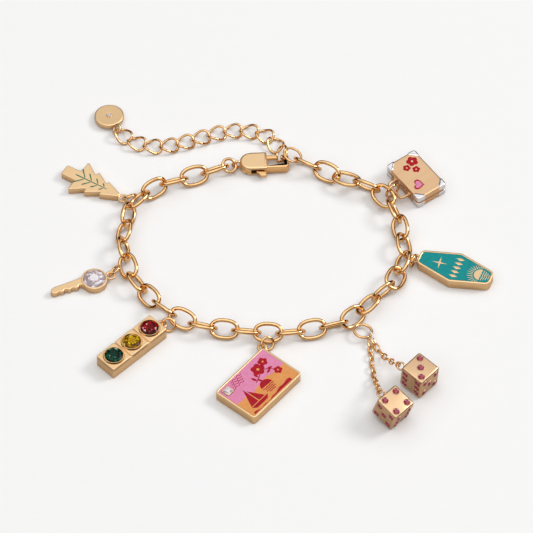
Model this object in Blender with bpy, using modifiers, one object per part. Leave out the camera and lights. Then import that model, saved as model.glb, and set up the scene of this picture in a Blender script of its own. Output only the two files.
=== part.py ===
# Charm bracelet lying open on a table: an oval cable chain, a hook clasp with a spring
# lever, a curb extender with a round end tag, and seven charms on jump rings.
# Lengths are metres and angles are degrees. +Z is up and the table is z = 0.

import math

import bmesh
import bpy
from mathutils import Matrix, Vector

# Main chain
LINK_COUNT = 33
LINK_LENGTH = 0.0068
LINK_WIDTH = 0.0048
LINK_WIRE = 0.0009
LINK_SQUARENESS = 2.4
LINK_ROLL = 45.0
LINK_SEGMENTS = 12
WIRE_SIDES = 6
GAP = 0.0001
PLAY = 0.00016
EYE_PLAY = 0.00026

# Links that lie otherwise than the regular left and right lean
TURNED_LINKS = {
    4: 59.0, 5: -42.0, 6: 59.0, 8: 59.0, 9: -36.0, 12: 59.0, 13: -36.0, 17: -34.0, 20: 59.0,
    21: -50.0, 22: 26.0, 23: 82.0, 24: -28.0, 25: 45.0, 26: -45.0, 27: 45.0, 28: -61.0, 29: 25.0,
    30: -71.0, 31: -13.0, 32: 53.0, 33: -55.0,
}

# Route of the main chain, from the clasp's tail round to its hook
CHAIN_ROUTE = (
    (-0.0135, 0.0249), (-0.0228, 0.0216), (-0.0267, 0.0191), (-0.0300, 0.0155), (-0.0320, 0.0054),
    (-0.0300, -0.0041), (-0.0241, -0.0125), (-0.0160, -0.0179), (-0.0063, -0.0197), (0.0034, -0.0204),
    (0.0134, -0.0188), (0.0180, -0.0172), (0.0216, -0.0139), (0.0243, -0.0105), (0.0280, -0.0069),
    (0.0308, 0.0021), (0.0291, 0.0121), (0.0272, 0.0169), (0.0245, 0.0199), (0.0151, 0.0241),
)

# Clasp: its frame starts at the tail eye, and x runs to the hook
CLASP_PLACE = (-0.0066, 0.0277)
CLASP_HEADING = 3.0
CLASP_THICKNESS = 0.0025
CLASP_WIDTH = 0.0048
CLASP_BODY_START = 0.0008
CLASP_BODY_END = 0.0067
CLASP_LENGTH = 0.0116
CLASP_TAIL_WIDTH = 0.0020
CLASP_SHEET = 0.00055
CLASP_EYE_WIRE = 0.00055
CLASP_EYE_RADIUS = 0.00095
HOOK_WIDTH = 0.0042
HOOK_BAR = 0.0007
HOOK_TIP_START = 0.0097
HOOK_TIP_THICKNESS = 0.0010
LEVER_PIVOT = (0.0040, 0.0009)
LEVER_THICKNESS = 0.0009
LEVER_GATE_END = 0.0090
LEVER_TAB_REACH = 0.0013
PIN_RADIUS = 0.00035
HUB_RADIUS = 0.0009
CLASP_RING_SIZE = 0.0038
CLASP_RING_WIRE = 0.0007
CLASP_RING_HEADING = 200.0
CLASP_RING_ROLL = 25.0

# Extender: one link sits on the hook, one reaches the main chain, the rest run free
EXTENDER_FREE_LINKS = 11
EXTENDER_LENGTH = 0.00465
EXTENDER_WIDTH = 0.0040
EXTENDER_WIRE = 0.00055
EXTENDER_TWIST = 35.0
EXTENDER_SEGMENTS = 10
BITE = 0.00015
HOOK_LINK_PLACE = (0.0101, 0.0023, 0.0016)
HOOK_LINK_TILT = 50.0
HOOK_LINK_TO_CHAIN = 90.0
HOOK_LINK_TO_EXTENDER = -32.0
END_LINK_HEADING = -37.0
END_LINK_ROLL = -5.0
EXTENDER_ROUTE = (
    (0.0023, 0.0315), (0.0005, 0.0352), (-0.0025, 0.0366), (-0.0062, 0.0371), (-0.0099, 0.0367),
    (-0.0170, 0.0342), (-0.0206, 0.0330), (-0.0243, 0.0324), (-0.0280, 0.0330), (-0.0312, 0.0346),
    (-0.0336, 0.0372),
)
TAG_RADIUS = 0.00325
TAG_THICKNESS = 0.0012
TAG_HEADING = 115.0
TAG_EYE_RADIUS = 0.0010
TAG_EYE_WIRE = 0.0007
TAG_EYE_ROLL = 50.0
TAG_STONE = 0.0010

# Jump rings and the eyes they pass through
RING_SIZE = 0.0034
RING_WIRE = 0.0006
CASE_RING_SIZE = 0.0040
DICE_RING_SIZE = 0.0046
RING_SEGMENTS = 12
EYE_RADIUS = 0.00093
EYE_WIRE = 0.00055
EYE_HEIGHT = 0.0012

# How each charm hangs: the link, the place of its ring round that link and round its wire,
# the ring's heading and lean, and the heading of the charm
HANGS = {
    "tree": (5, 112.0, -70.0, 193.0, -41.0, 149.0),
    "key": (9, 109.0, -83.0, 233.0, -41.0, 200.0),
    "signal": (13, 104.0, -89.0, 172.0, 43.0, 224.5),
    "postcard": (17, 69.0, -75.0, 218.0, 43.0, 275.0),
    "dice": (21, 99.0, -86.0, -47.0, 79.0, -68.7),
    "fob": (25, 94.0, 95.0, 68.0, 8.0, -21.5),
    "case": (29, 94.0, -29.0, 39.0, 0.0, 36.0),
}

# Tree: tiers as shares of its length and half width
TREE_LENGTH = 0.0143
TREE_WIDTH = 0.0092
TREE_THICKNESS = 0.0018
TREE_PROFILE = (
    (0.00, 0.09), (0.28, 0.46), (0.28, 0.28), (0.51, 0.73), (0.51, 0.45), (0.75, 1.00),
    (0.75, 0.30), (1.00, 0.30),
)

# Key
KEY_BEZEL_RADIUS = 0.00285
KEY_BEZEL_HEIGHT = 0.0018
KEY_STONE_RADIUS = 0.00245
KEY_BLADE_LENGTH = 0.0101
KEY_BLADE_WIDTH = 0.0020
KEY_BLADE_THICKNESS = 0.0015
KEY_NOTCHES = ((0.34, 0.50), (0.52, 0.28), (0.68, 0.42), (0.84, 0.26))

# Traffic signal
SIGNAL_LENGTH = 0.0162
SIGNAL_WIDTH = 0.0054
SIGNAL_HEIGHT = 0.0033
SIGNAL_GROOVE = 0.0003
SIGNAL_STONE_RADIUS = 0.0020
SIGNAL_COLLAR = 0.00035
STONE_SEAT = 0.00006

# Postcard
CARD_LENGTH = 0.0161
CARD_WIDTH = 0.0112
CARD_THICKNESS = 0.0025
CARD_RIM = 0.00045
ENAMEL_DEPTH = 0.0004
ENAMEL_GAP = 0.00005
STAMP_SIZE = 0.0023
STAMP_INSET = 0.0020

# Dice and their fine chains
DIE_EDGE = 0.0060
DIE_CORNER = 0.00035
PIP_RADIUS = 0.00078
PIP_SPACING = 0.0018
PIP_HEIGHT = 0.00022
DIE_EYE_RADIUS = 0.00080
DIE_EYE_WIRE = 0.00045
FINE_LENGTH = 0.00238
FINE_WIDTH = 0.00150
FINE_WIRE = 0.00038
FINE_SEGMENTS = 6
FINE_BITE = 0.0001
CONNECTOR_RADIUS = 0.00088
CONNECTOR_WIRE = 0.00045
CONNECTOR_ROLL = -50.0

# Each strand: its links, its place on the connector and where it starts to rise
STRANDS = {"die_a": (12, 28.0, 0.45), "die_b": (8, -28.0, 0.30)}

# Each die: its middle, yaw, lean, the place of its eye along its edge, the turn of the eye,
# and the pips on its top, near and right faces
DICE = {
    "die_a": (0.02743, -0.04165, 46.9, 16.5, -0.00075, -45.0, (4, 6, 2)),
    "die_b": (0.0333, -0.0327, 48.5, 5.0, -0.0022, -30.0, (3, 5, 1)),
}

# Key fob
FOB_LENGTH = 0.0171
FOB_END_WIDTH = 0.0036
FOB_WIDTH = 0.0083
FOB_THICKNESS = 0.0025
FOB_RIM = 0.00045
FOB_CORNER = 0.0014

# Suitcase
CASE_LENGTH = 0.0118
CASE_WIDTH = 0.0076
CASE_HEIGHT = 0.0033
CASE_CORNER = 0.0009
CASE_SEAM = 0.00025
CASE_CAP = 0.0017
CASE_CAP_PROUD = 0.00012
HANDLE_SPAN = 0.0050
HANDLE_REACH = 0.0022
HANDLE_WIRE = 0.0007
HANDLE_HEIGHT = 0.0016


# Colours of the metals, enamels and stones: colour, roughness, metallic
FINISHES = {
    "gold": ((0.90, 0.66, 0.36, 1.0), 0.18, 1.0),
    "silver": ((0.86, 0.86, 0.88, 1.0), 0.18, 1.0),
    "clear_stone": ((0.90, 0.90, 0.93, 1.0), 0.03, 0.0),
    "red_stone": ((0.45, 0.01, 0.02, 1.0), 0.03, 0.0),
    "yellow_stone": ((0.75, 0.55, 0.02, 1.0), 0.03, 0.0),
    "green_stone": ((0.01, 0.16, 0.09, 1.0), 0.03, 0.0),
    "pink_enamel": ((0.74, 0.22, 0.42, 1.0), 0.15, 0.0),
    "teal_enamel": ((0.01, 0.30, 0.33, 1.0), 0.15, 0.0),
}


def clear_scene():
    for item in list(bpy.data.objects):
        bpy.data.objects.remove(item, do_unlink=True)


def new_collection(name):
    collection = bpy.data.collections.new(name)
    bpy.context.scene.collection.children.link(collection)
    return collection


def finish_material(name):
    colour, roughness, metallic = FINISHES[name]
    material = bpy.data.materials.new(name)
    material.use_nodes = True
    shader = material.node_tree.nodes["Principled BSDF"]
    shader.inputs["Base Color"].default_value = colour
    shader.inputs["Roughness"].default_value = roughness
    shader.inputs["Metallic"].default_value = metallic
    return material


def heading_vector(degrees):
    return Vector((math.cos(math.radians(degrees)), math.sin(math.radians(degrees)), 0.0))


def axes_matrix(origin, x_axis, y_axis):
    """A frame from its origin and two square axes."""
    z_axis = x_axis.cross(y_axis)
    matrix = Matrix((x_axis, y_axis, z_axis)).transposed().to_4x4()
    matrix.translation = origin
    return matrix


def rolled_frame(origin, direction, roll):
    """A link's frame: x along the chain, y across it, leaning up by the roll."""
    along = direction.normalized()
    across = Vector((along.y, -along.x, 0.0)).normalized()
    above = across.cross(along)
    angle = math.radians(roll)
    side = across * math.cos(angle) + above * math.sin(angle)
    return axes_matrix(origin, along, side)


def flat_frame(place, heading, height=0.0):
    """A frame that lies level, with x at the heading."""
    along = heading_vector(heading)
    return axes_matrix(Vector((place[0], place[1], height)), along, Vector((-along.y, along.x, 0.0)))


def mesh_of(item):
    """The evaluated mesh of a scratch object, welded, with the object removed."""
    bpy.context.view_layer.update()
    graph = bpy.context.evaluated_depsgraph_get()
    mesh = bpy.data.meshes.new_from_object(item.evaluated_get(graph))
    mesh.transform(item.matrix_world)
    bpy.data.objects.remove(item, do_unlink=True)
    work = bmesh.new()
    work.from_mesh(mesh)
    bmesh.ops.remove_doubles(work, verts=work.verts, dist=0.000001)
    bmesh.ops.recalc_face_normals(work, faces=work.faces)
    work.to_mesh(mesh)
    work.free()
    return mesh


def curve_item(points, closed, flat=False):
    curve = bpy.data.curves.new("scratch_curve", "CURVE")
    curve.dimensions = "2D" if flat else "3D"
    spline = curve.splines.new("POLY")
    spline.points.add(len(points) - 1)
    for spot, point in zip(spline.points, points):
        spot.co = (point[0], point[1], 0.0 if flat else point[2], 1.0)
    spline.use_cyclic_u = closed
    item = bpy.data.objects.new("scratch_curve", curve)
    bpy.context.scene.collection.objects.link(item)
    return item


def wire_mesh(points, radius, closed=True, sides=WIRE_SIDES):
    item = curve_item(points, closed)
    item.data.bevel_depth = radius
    item.data.bevel_resolution = (sides - 4) // 2
    item.data.use_fill_caps = not closed
    return mesh_of(item)


def plate_mesh(outline, bottom, top):
    item = curve_item(outline, True, flat=True)
    item.data.fill_mode = "BOTH"
    item.data.extrude = (top - bottom) / 2
    item.location.z = (top + bottom) / 2
    return mesh_of(item)


def turned_mesh(profile, steps):
    """A closed turned solid: the profile runs from the top axis point down to the lowest one."""
    mesh = bpy.data.meshes.new("scratch_profile")
    points = [(radius, 0.0, height) for radius, height in profile]
    mesh.from_pydata(points, [(i, i + 1) for i in range(len(points) - 1)], [])
    item = bpy.data.objects.new("scratch_profile", mesh)
    bpy.context.scene.collection.objects.link(item)
    screw = item.modifiers.new("turn", "SCREW")
    screw.steps = steps
    screw.render_steps = steps
    screw.use_merge_vertices = True
    screw.merge_threshold = 0.000001
    return mesh_of(item)


def rod_mesh(radius, bottom, top, steps=12):
    return turned_mesh([(0.0, top), (radius, top), (radius, bottom), (0.0, bottom)], steps)


def stone_mesh(radius, girdle, steps=10):
    """A round cut stone: a table, a ring of crown facets and a ring of pavilion facets."""
    return turned_mesh(
        [
            (0.0, girdle + radius * 0.22),
            (radius * 0.58, girdle + radius * 0.22),
            (radius, girdle),
            (radius, girdle - radius * 0.05),
            (radius * 0.25, girdle - radius * 0.38),
            (0.0, girdle - radius * 0.38),
        ],
        steps,
    )


def oval_points(length, width, wire, segments, squareness=2.0, rise=0.0):
    """The centreline of a link; rise twists it so that it lies flat in a curb chain."""
    half_length = (length - wire) / 2
    half_width = (width - wire) / 2
    points = []
    for i in range(segments):
        angle = math.tau * i / segments
        across = math.cos(angle)
        along = math.sin(angle)
        points.append(
            (
                math.copysign(half_length * abs(across) ** (2 / squareness), across),
                math.copysign(half_width * abs(along) ** (2 / squareness), along),
                rise * math.sin(2 * angle),
            )
        )
    return points


def oval_place(length, width, wire, angle):
    """A point of a link's centreline, and the way from it into the link."""
    half_length = (length - wire) / 2
    half_width = (width - wire) / 2
    turn = math.radians(angle)
    point = Vector((half_length * math.cos(turn), half_width * math.sin(turn), 0.0))
    inward = Vector((-math.cos(turn) / half_length, -math.sin(turn) / half_width, 0.0))
    return point, inward.normalized()


def rounded_outline(corners, radius, steps=3):
    """A polygon with each corner replaced by an arc."""
    outline = []
    count = len(corners)
    for i in range(count):
        here = Vector(corners[i])
        to_last = (Vector(corners[i - 1]) - here).normalized()
        to_next = (Vector(corners[(i + 1) % count]) - here).normalized()
        half = to_last.angle(to_next) / 2
        reach = radius / math.tan(half)
        centre = here + (to_last + to_next).normalized() * radius / math.sin(half)
        first = here + to_last * reach - centre
        last = here + to_next * reach - centre
        sweep = first.angle_signed(last)
        for k in range(steps + 1):
            turn = -sweep * k / steps
            arm = Vector((
                first.x * math.cos(turn) - first.y * math.sin(turn),
                first.x * math.sin(turn) + first.y * math.cos(turn),
            ))
            outline.append(tuple(centre + arm))
    return outline


def box_outline(x0, x1, y0, y1):
    return [(x0, y0), (x1, y0), (x1, y1), (x0, y1)]


def joined_mesh(pieces):
    """Several meshes that don't meet, each with its frame, as one mesh."""
    work = bmesh.new()
    for mesh, matrix in pieces:
        start = len(work.verts)
        work.from_mesh(mesh)
        work.verts.ensure_lookup_table()
        bmesh.ops.transform(work, matrix=matrix, verts=work.verts[start:])
    mesh = bpy.data.meshes.new("joined")
    work.to_mesh(mesh)
    work.free()
    return mesh


def smooth(mesh):
    mesh.shade_smooth()
    mesh.set_sharp_from_angle(angle=math.radians(25.0))


def place_part(name, mesh, matrix, finish):
    """One named object of the bracelet."""
    smooth(mesh)
    part = bpy.data.objects.new(name, mesh)
    if not mesh.materials:
        mesh.materials.append(MATERIALS[finish])
    PARTS.objects.link(part)
    part.parent = ORIGIN
    part.matrix_basis = matrix
    return part


def cut_or_fuse(part, operation, pieces):
    """A Boolean with the joined pieces, which are given in the part's own frame."""
    cutter = bpy.data.objects.new(part.name + "_" + operation.lower(), joined_mesh(pieces))
    CUTTERS.objects.link(cutter)
    cutter.hide_render = True
    cutter.display_type = "WIRE"
    cutter.parent = ORIGIN
    cutter.matrix_basis = part.matrix_basis
    step = part.modifiers.new(operation.lower(), "BOOLEAN")
    step.operation = operation
    step.solver = "EXACT"
    step.object = cutter


def smooth_route(points, samples=16):
    """A smooth line through the points, as a dense list."""
    guides = [points[0] * 2 - points[1], *points, points[-1] * 2 - points[-2]]
    line = []
    for i in range(1, len(guides) - 2):
        p0, p1, p2, p3 = guides[i - 1:i + 3]
        for k in range(samples):
            t = k / samples
            line.append(
                (p1 * 2 + (p2 - p0) * t + (p0 * 2 - p1 * 5 + p2 * 4 - p3) * t ** 2
                 + (p1 * 3 - p0 - p2 * 3 + p3) * t ** 3) / 2
            )
    line.append(points[-1])
    return line


def march(line, chords):
    """Points along the line, each one chord from the last; fewer if the line ends."""
    places = [line[0]]
    index = 1
    for chord in chords:
        while index < len(line) and (line[index] - places[-1]).length < chord:
            index += 1
        if index == len(line):
            break
        before = line[index - 1]
        step = line[index] - before
        offset = before - places[-1]
        b = offset.dot(step)
        c = offset.length_squared - chord ** 2
        root = math.sqrt(max(b * b - step.length_squared * c, 0.0))
        places.append(before + step * ((root - b) / step.length_squared))
    return places


def link_roll(number):
    regular = LINK_ROLL if number % 2 == 0 else -LINK_ROLL
    return TURNED_LINKS.get(number, regular)


def link_height(number):
    """The height of a link's middle at which its lower wire meets the table."""
    half_width = (LINK_WIDTH - LINK_WIRE) / 2
    lean = max(abs(link_roll(number)), LINK_ROLL)
    return LINK_WIRE / 2 + half_width * math.sin(math.radians(lean))


def chain_joints(start, end):
    """The points where the main links meet, from the clasp ring to the extender."""
    pitch = LINK_LENGTH - 2 * LINK_WIRE - PLAY
    heights = [start.z]
    for number in range(1, LINK_COUNT):
        heights.append(max(link_height(number), link_height(number + 1)))
    heights.append(end.z)
    chords = [math.sqrt(pitch ** 2 - (b - a) ** 2) for a, b in zip(heights, heights[1:])]
    first = start.to_2d()
    last = end.to_2d()
    anchor = (first + last) / 2
    low = 0.5
    high = 2.0
    for _ in range(40):
        scale = (low + high) / 2
        guides = [first, *(anchor + (Vector(p) - anchor) * scale for p in CHAIN_ROUTE), last]
        places = march(smooth_route(guides), chords[:-1])
        whole = len(places) == LINK_COUNT
        if whole and (places[-1] - last).length > chords[-1]:
            high = scale
        else:
            low = scale
    places.append(last)
    return [Vector((place.x, place.y, height)) for place, height in zip(places, heights)]


def build_main_chain(joints):
    """The oval links, each its own object, and the frame of each."""
    outline = oval_points(LINK_LENGTH, LINK_WIDTH, LINK_WIRE, LINK_SEGMENTS, LINK_SQUARENESS)
    mesh = wire_mesh(outline, LINK_WIRE / 2)
    frames = {}
    for number in range(1, LINK_COUNT + 1):
        before = joints[number - 1]
        after = joints[number]
        frame = rolled_frame((before + after) / 2, after - before, link_roll(number))
        frames[number] = frame
        place_part(f"link_{number:02d}", mesh, frame, "gold")
    return frames


def ring_mesh(radius, wire, segments=RING_SEGMENTS):
    """A round ring of wire, straight where it meets its neighbours."""
    half_step = math.pi / segments
    corner = radius / math.cos(half_step)
    angles = [half_step * (2 * i + 1) for i in range(segments)]
    points = [(corner * math.cos(angle), corner * math.sin(angle), 0.0) for angle in angles]
    return wire_mesh(points, wire / 2)


def build_clasp(frame):
    """The clasp's body with its hook and pin, and the lever between its two sheets."""
    middle = CLASP_THICKNESS / 2 + 2 * CLASP_SHEET * 0.05
    bottom = middle - CLASP_THICKNESS / 2
    top = middle + CLASP_THICKNESS / 2
    half = CLASP_WIDTH / 2
    hook = HOOK_WIDTH / 2
    outline = rounded_outline(
        [
            (CLASP_BODY_START, CLASP_TAIL_WIDTH / 2),
            (CLASP_BODY_START + 0.0016, half),
            (CLASP_BODY_END, half),
            (CLASP_BODY_END, hook - 0.0001),
            (CLASP_LENGTH, hook - 0.0001),
            (CLASP_LENGTH, -hook),
            (CLASP_BODY_END, -half),
            (CLASP_BODY_START + 0.0016, -half),
            (CLASP_BODY_START, -CLASP_TAIL_WIDTH / 2),
        ],
        0.0002,
        2,
    )
    mesh = plate_mesh(outline, bottom, top)
    body = place_part("clasp_body", mesh, frame, "gold")
    identity = Matrix.Identity(4)
    still = 2 * PIN_RADIUS
    slot_bottom = bottom + CLASP_SHEET
    slot_top = top - CLASP_SHEET
    inner = -hook + HOOK_BAR
    gate_side = hook - 0.0001 - HOOK_TIP_THICKNESS
    window = box_outline(CLASP_BODY_END, CLASP_LENGTH - HOOK_BAR, inner, gate_side)
    gate_way = box_outline(CLASP_BODY_END, HOOK_TIP_START, gate_side - still, half + still)
    slot = box_outline(CLASP_BODY_START + 0.0012, CLASP_BODY_END + still, -half - still, half + still)
    above_tip = box_outline(HOOK_TIP_START - still, CLASP_LENGTH + still, inner + 0.0006, half + still)
    tip_low = middle - HOOK_TIP_THICKNESS / 2
    tip_high = middle + HOOK_TIP_THICKNESS / 2
    cut_or_fuse(body, "DIFFERENCE", [(plate_mesh(window, bottom - still, top + still), identity)])
    cut_or_fuse(body, "DIFFERENCE", [(plate_mesh(gate_way, bottom - still, top + still), identity)])
    cut_or_fuse(body, "DIFFERENCE", [(plate_mesh(slot, slot_bottom, slot_top), identity)])
    cut_or_fuse(body, "DIFFERENCE", [
        (plate_mesh(above_tip, tip_high, top + still), identity),
        (plate_mesh(above_tip, bottom - still, tip_low), identity),
    ])
    pivot = Matrix.Translation((LEVER_PIVOT[0], LEVER_PIVOT[1], 0.0))
    eye = Matrix.Translation((0.0, 0.0, middle)) @ Matrix.Rotation(math.radians(90.0), 4, "X")
    eye_mesh = ring_mesh(CLASP_EYE_RADIUS, CLASP_EYE_WIRE)
    cut_or_fuse(body, "UNION", [
        (rod_mesh(PIN_RADIUS, bottom + CLASP_SHEET / 2, top - CLASP_SHEET / 2), pivot),
        (eye_mesh, eye),
    ])
    build_lever(frame, middle)


def build_lever(frame, middle):
    """The lever, in a frame of its own on the pin, so that it turns about its origin."""
    x, y = LEVER_PIVOT
    side = HOOK_WIDTH / 2 - 0.0001 - y
    tab = CLASP_WIDTH / 2 + y
    outline = rounded_outline(
        [
            (LEVER_GATE_END - x, side),
            (LEVER_GATE_END - x, side - HOOK_TIP_THICKNESS),
            (0.0024, side - HOOK_TIP_THICKNESS),
            (0.0016, -0.0008),
            (0.0022, -tab),
            (0.0026, -tab - LEVER_TAB_REACH),
            (0.0012, -tab - LEVER_TAB_REACH),
            (0.0003, -tab),
            (-0.0008, -0.0004),
            (-0.0004, side),
        ],
        0.0002,
        2,
    )
    half = LEVER_THICKNESS / 2
    mesh = plate_mesh(outline, -half, half)
    pivot = frame @ Matrix.Translation((x, y, middle))
    lever = place_part("clasp_lever", mesh, pivot, "gold")
    hole = rod_mesh(PIN_RADIUS + GAP, -LEVER_THICKNESS, LEVER_THICKNESS)
    cut_or_fuse(lever, "DIFFERENCE", [(hole, Matrix.Identity(4))])


def build_clasp_ring(frame):
    """The ring between the tail eye and the first link, and the point where that link starts."""
    eye_place = frame.translation.copy()
    eye_place.z = CLASP_THICKNESS / 2 + 2 * CLASP_SHEET * 0.05
    inset = CLASP_EYE_RADIUS - (CLASP_EYE_WIRE + CLASP_RING_WIRE) / 2 - GAP
    near = eye_place - frame.to_3x3().col[0] * inset
    radius = (CLASP_RING_SIZE - CLASP_RING_WIRE) / 2
    rise = (link_height(1) - near.z) / (2 * radius - CLASP_RING_WIRE / 2)
    level = heading_vector(CLASP_RING_HEADING)
    direction = level * math.sqrt(1 - rise ** 2) + Vector((0.0, 0.0, rise))
    matrix = rolled_frame(near + direction * radius, direction, CLASP_RING_ROLL)
    place_part("clasp_ring", ring_mesh(radius, CLASP_RING_WIRE), matrix, "gold")
    return near + direction * (2 * radius - (CLASP_RING_WIRE + PLAY) / 2)


def extender_oval(twisted):
    half_width = (EXTENDER_WIDTH - EXTENDER_WIRE) / 2
    rise = half_width * math.tan(math.radians(EXTENDER_TWIST)) / 2 if twisted else 0.0
    points = oval_points(EXTENDER_LENGTH, EXTENDER_WIDTH, EXTENDER_WIRE, EXTENDER_SEGMENTS, 2.0, rise)
    return wire_mesh(points, EXTENDER_WIRE / 2), rise


def hook_link_place(frame, angle):
    """Where a neighbour meets the link that sits on the hook."""
    point, inward = oval_place(EXTENDER_LENGTH, EXTENDER_WIDTH, EXTENDER_WIRE, angle)
    return frame @ (point + inward * (EXTENDER_WIRE - BITE) / 2)


def build_extender(clasp_frame):
    """The curb links fused into one chain, the end tag, and where the main chain ends."""
    tilt = math.radians(HOOK_LINK_TILT)
    local = axes_matrix(
        Vector(HOOK_LINK_PLACE),
        Vector((0.0, 1.0, 0.0)),
        Vector((math.cos(tilt), 0.0, math.sin(tilt))),
    )
    hook_frame = clasp_frame @ local
    twisted, rise = extender_oval(True)
    plain, _ = extender_oval(False)
    half_length = (EXTENDER_LENGTH - EXTENDER_WIRE) / 2
    overlap = (EXTENDER_WIRE - BITE) / 2

    meet = hook_link_place(hook_frame, HOOK_LINK_TO_CHAIN)
    reach = 2 * half_length - overlap - EXTENDER_WIRE / 2 - PLAY
    height = link_height(LINK_COUNT)
    drop = (height - meet.z) / reach
    direction = heading_vector(END_LINK_HEADING) * math.sqrt(1 - drop ** 2) + Vector((0.0, 0.0, drop))
    chain_end = meet + direction * reach
    centre = meet + direction * (half_length - overlap)
    end_frame = rolled_frame(centre, -direction, END_LINK_ROLL)

    pitch = 2 * (half_length - overlap)
    start = hook_link_place(hook_frame, HOOK_LINK_TO_EXTENDER)
    level = rise + EXTENDER_WIRE / 2
    tag_level = TAG_EYE_RADIUS * math.sin(math.radians(TAG_EYE_ROLL)) + TAG_EYE_WIRE / 2 + GAP
    heights = [start.z] + [level] * (EXTENDER_FREE_LINKS - 1) + [tag_level]
    chords = [math.sqrt(pitch ** 2 - (b - a) ** 2) for a, b in zip(heights, heights[1:])]
    guides = [Vector(p) - Vector(EXTENDER_ROUTE[0]) for p in EXTENDER_ROUTE]
    length = sum((b - a).length for a, b in zip(guides, guides[1:]))
    scale = sum(chords) * 1.01 / length
    line = smooth_route([start.to_2d() + guide * scale for guide in guides])
    places = march(line, chords)
    joints = [Vector((place.x, place.y, height)) for place, height in zip(places, heights)]

    odd = [(plain, hook_frame)]
    even = [(plain, end_frame)]
    for number in range(1, len(joints)):
        before = joints[number - 1]
        after = joints[number]
        matrix = rolled_frame((before + after) / 2, after - before, 0.0)
        group = even if number % 2 else odd
        group.append((twisted, matrix))
    chain = place_part("extender_chain", joined_mesh(odd), Matrix.Identity(4), "gold")
    cut_or_fuse(chain, "UNION", even)
    build_tag(joints[-1])
    return chain_end


def build_tag(joint):
    """The round end tag, tilted up at its eye."""
    along = heading_vector(TAG_HEADING)
    centre = joint + along * (TAG_EYE_RADIUS - (TAG_EYE_WIRE + BITE) / 2 - EYE_PLAY)
    middle = TAG_THICKNESS / 2
    tilt = math.asin((joint.z - middle) / (TAG_EYE_RADIUS + 2 * TAG_RADIUS))
    frame = rolled_frame(centre, along * math.cos(tilt) - Vector((0.0, 0.0, math.sin(tilt))), 0.0)
    disc = Matrix.Translation((TAG_EYE_RADIUS + TAG_RADIUS, 0.0, 0.0))
    tag = place_part("end_tag", joined_mesh([(rod_mesh(TAG_RADIUS, -middle, middle, 28), disc)]), frame, "gold")
    eye = Matrix.Rotation(math.radians(-TAG_EYE_ROLL), 4, "X")
    cut_or_fuse(tag, "UNION", [(ring_mesh(TAG_EYE_RADIUS, TAG_EYE_WIRE), eye)])
    stone = rod_mesh(TAG_STONE / 2, -middle - 0.00015, 0.0, 8)
    cut_or_fuse(tag, "UNION", [(stone, disc)])


def hang(frames, name, ring_size, eye_radius, eye_wire, eye_height=EYE_HEIGHT):
    """A jump ring round its link, and the centre of the eye that it holds."""
    number, grip, turn, heading, lean, _ = HANGS[name]
    point, inward = oval_place(LINK_LENGTH, LINK_WIDTH, LINK_WIRE, grip)
    turn = math.radians(turn)
    touch = inward * math.cos(turn) + Vector((0.0, 0.0, math.sin(turn)))
    near = frames[number] @ (point + touch * ((LINK_WIRE + RING_WIRE) / 2 + PLAY))
    radius = (ring_size - RING_WIRE) / 2
    rise = (eye_height - near.z) / (2 * radius)
    level = heading_vector(heading)
    direction = level * math.sqrt(1 - rise ** 2) + Vector((0.0, 0.0, rise))
    matrix = rolled_frame(near + direction * radius, direction, 90.0 - lean)
    place_part(name + "_ring", ring_mesh(radius, RING_WIRE), matrix, "gold")
    far = near + direction * 2 * radius
    return far + level * (eye_radius - (RING_WIRE + eye_wire) / 2 - EYE_PLAY)


def charm_frame(place, name):
    return flat_frame(place, HANGS[name][-1])


def eye_piece(place=(0.0, 0.0)):
    matrix = Matrix.Translation((place[0], place[1], EYE_HEIGHT))
    return [(ring_mesh(EYE_RADIUS, EYE_WIRE), matrix)]


def build_tree(frames):
    eye = hang(frames, "tree", RING_SIZE, EYE_RADIUS, EYE_WIRE)
    upper = [(EYE_RADIUS + x * TREE_LENGTH, y * TREE_WIDTH / 2) for x, y in TREE_PROFILE]
    outline = upper + [(x, -y) for x, y in reversed(upper)]
    mesh = plate_mesh(outline, 0.0, TREE_THICKNESS)
    tree = place_part("tree_charm", mesh, charm_frame(eye, "tree"), "gold")
    cut_or_fuse(tree, "UNION", eye_piece())


def build_key(frames):
    eye = hang(frames, "key", RING_SIZE, EYE_RADIUS, EYE_WIRE)
    frame = charm_frame(eye, "key")
    centre = EYE_RADIUS + KEY_BEZEL_RADIUS
    end = centre + KEY_BLADE_LENGTH
    half = KEY_BLADE_WIDTH / 2
    edge = [(centre, -half * 1.7), (end - half, -half), (end, -half * 0.3), (end, half * 0.2)]
    for share, depth in reversed(KEY_NOTCHES):
        x = centre + share * KEY_BLADE_LENGTH
        y = half * 0.8
        edge += [(x + 0.0006, y), (x + 0.0002, y - depth * half), (x - 0.0003, y - depth * half), (x - 0.0006, y)]
    edge.append((centre, half * 1.2))
    bezel = Matrix.Translation((centre, 0.0, 0.0))
    key = place_part("key_charm", plate_mesh(edge, 0.0, KEY_BLADE_THICKNESS), frame, "gold")
    cut_or_fuse(key, "UNION", [(rod_mesh(KEY_BEZEL_RADIUS, 0.0, KEY_BEZEL_HEIGHT, 20), bezel)])
    cut_or_fuse(key, "UNION", eye_piece())
    girdle = KEY_BEZEL_HEIGHT - 0.00015
    floor = girdle - KEY_STONE_RADIUS * 0.38 - STONE_SEAT
    seat = rod_mesh(KEY_STONE_RADIUS + STONE_SEAT, floor, KEY_BEZEL_HEIGHT + GAP, 20)
    cut_or_fuse(key, "DIFFERENCE", [(seat, bezel)])
    place_part("key_stone", stone_mesh(KEY_STONE_RADIUS, girdle, 10), frame @ bezel, "clear_stone")


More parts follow.
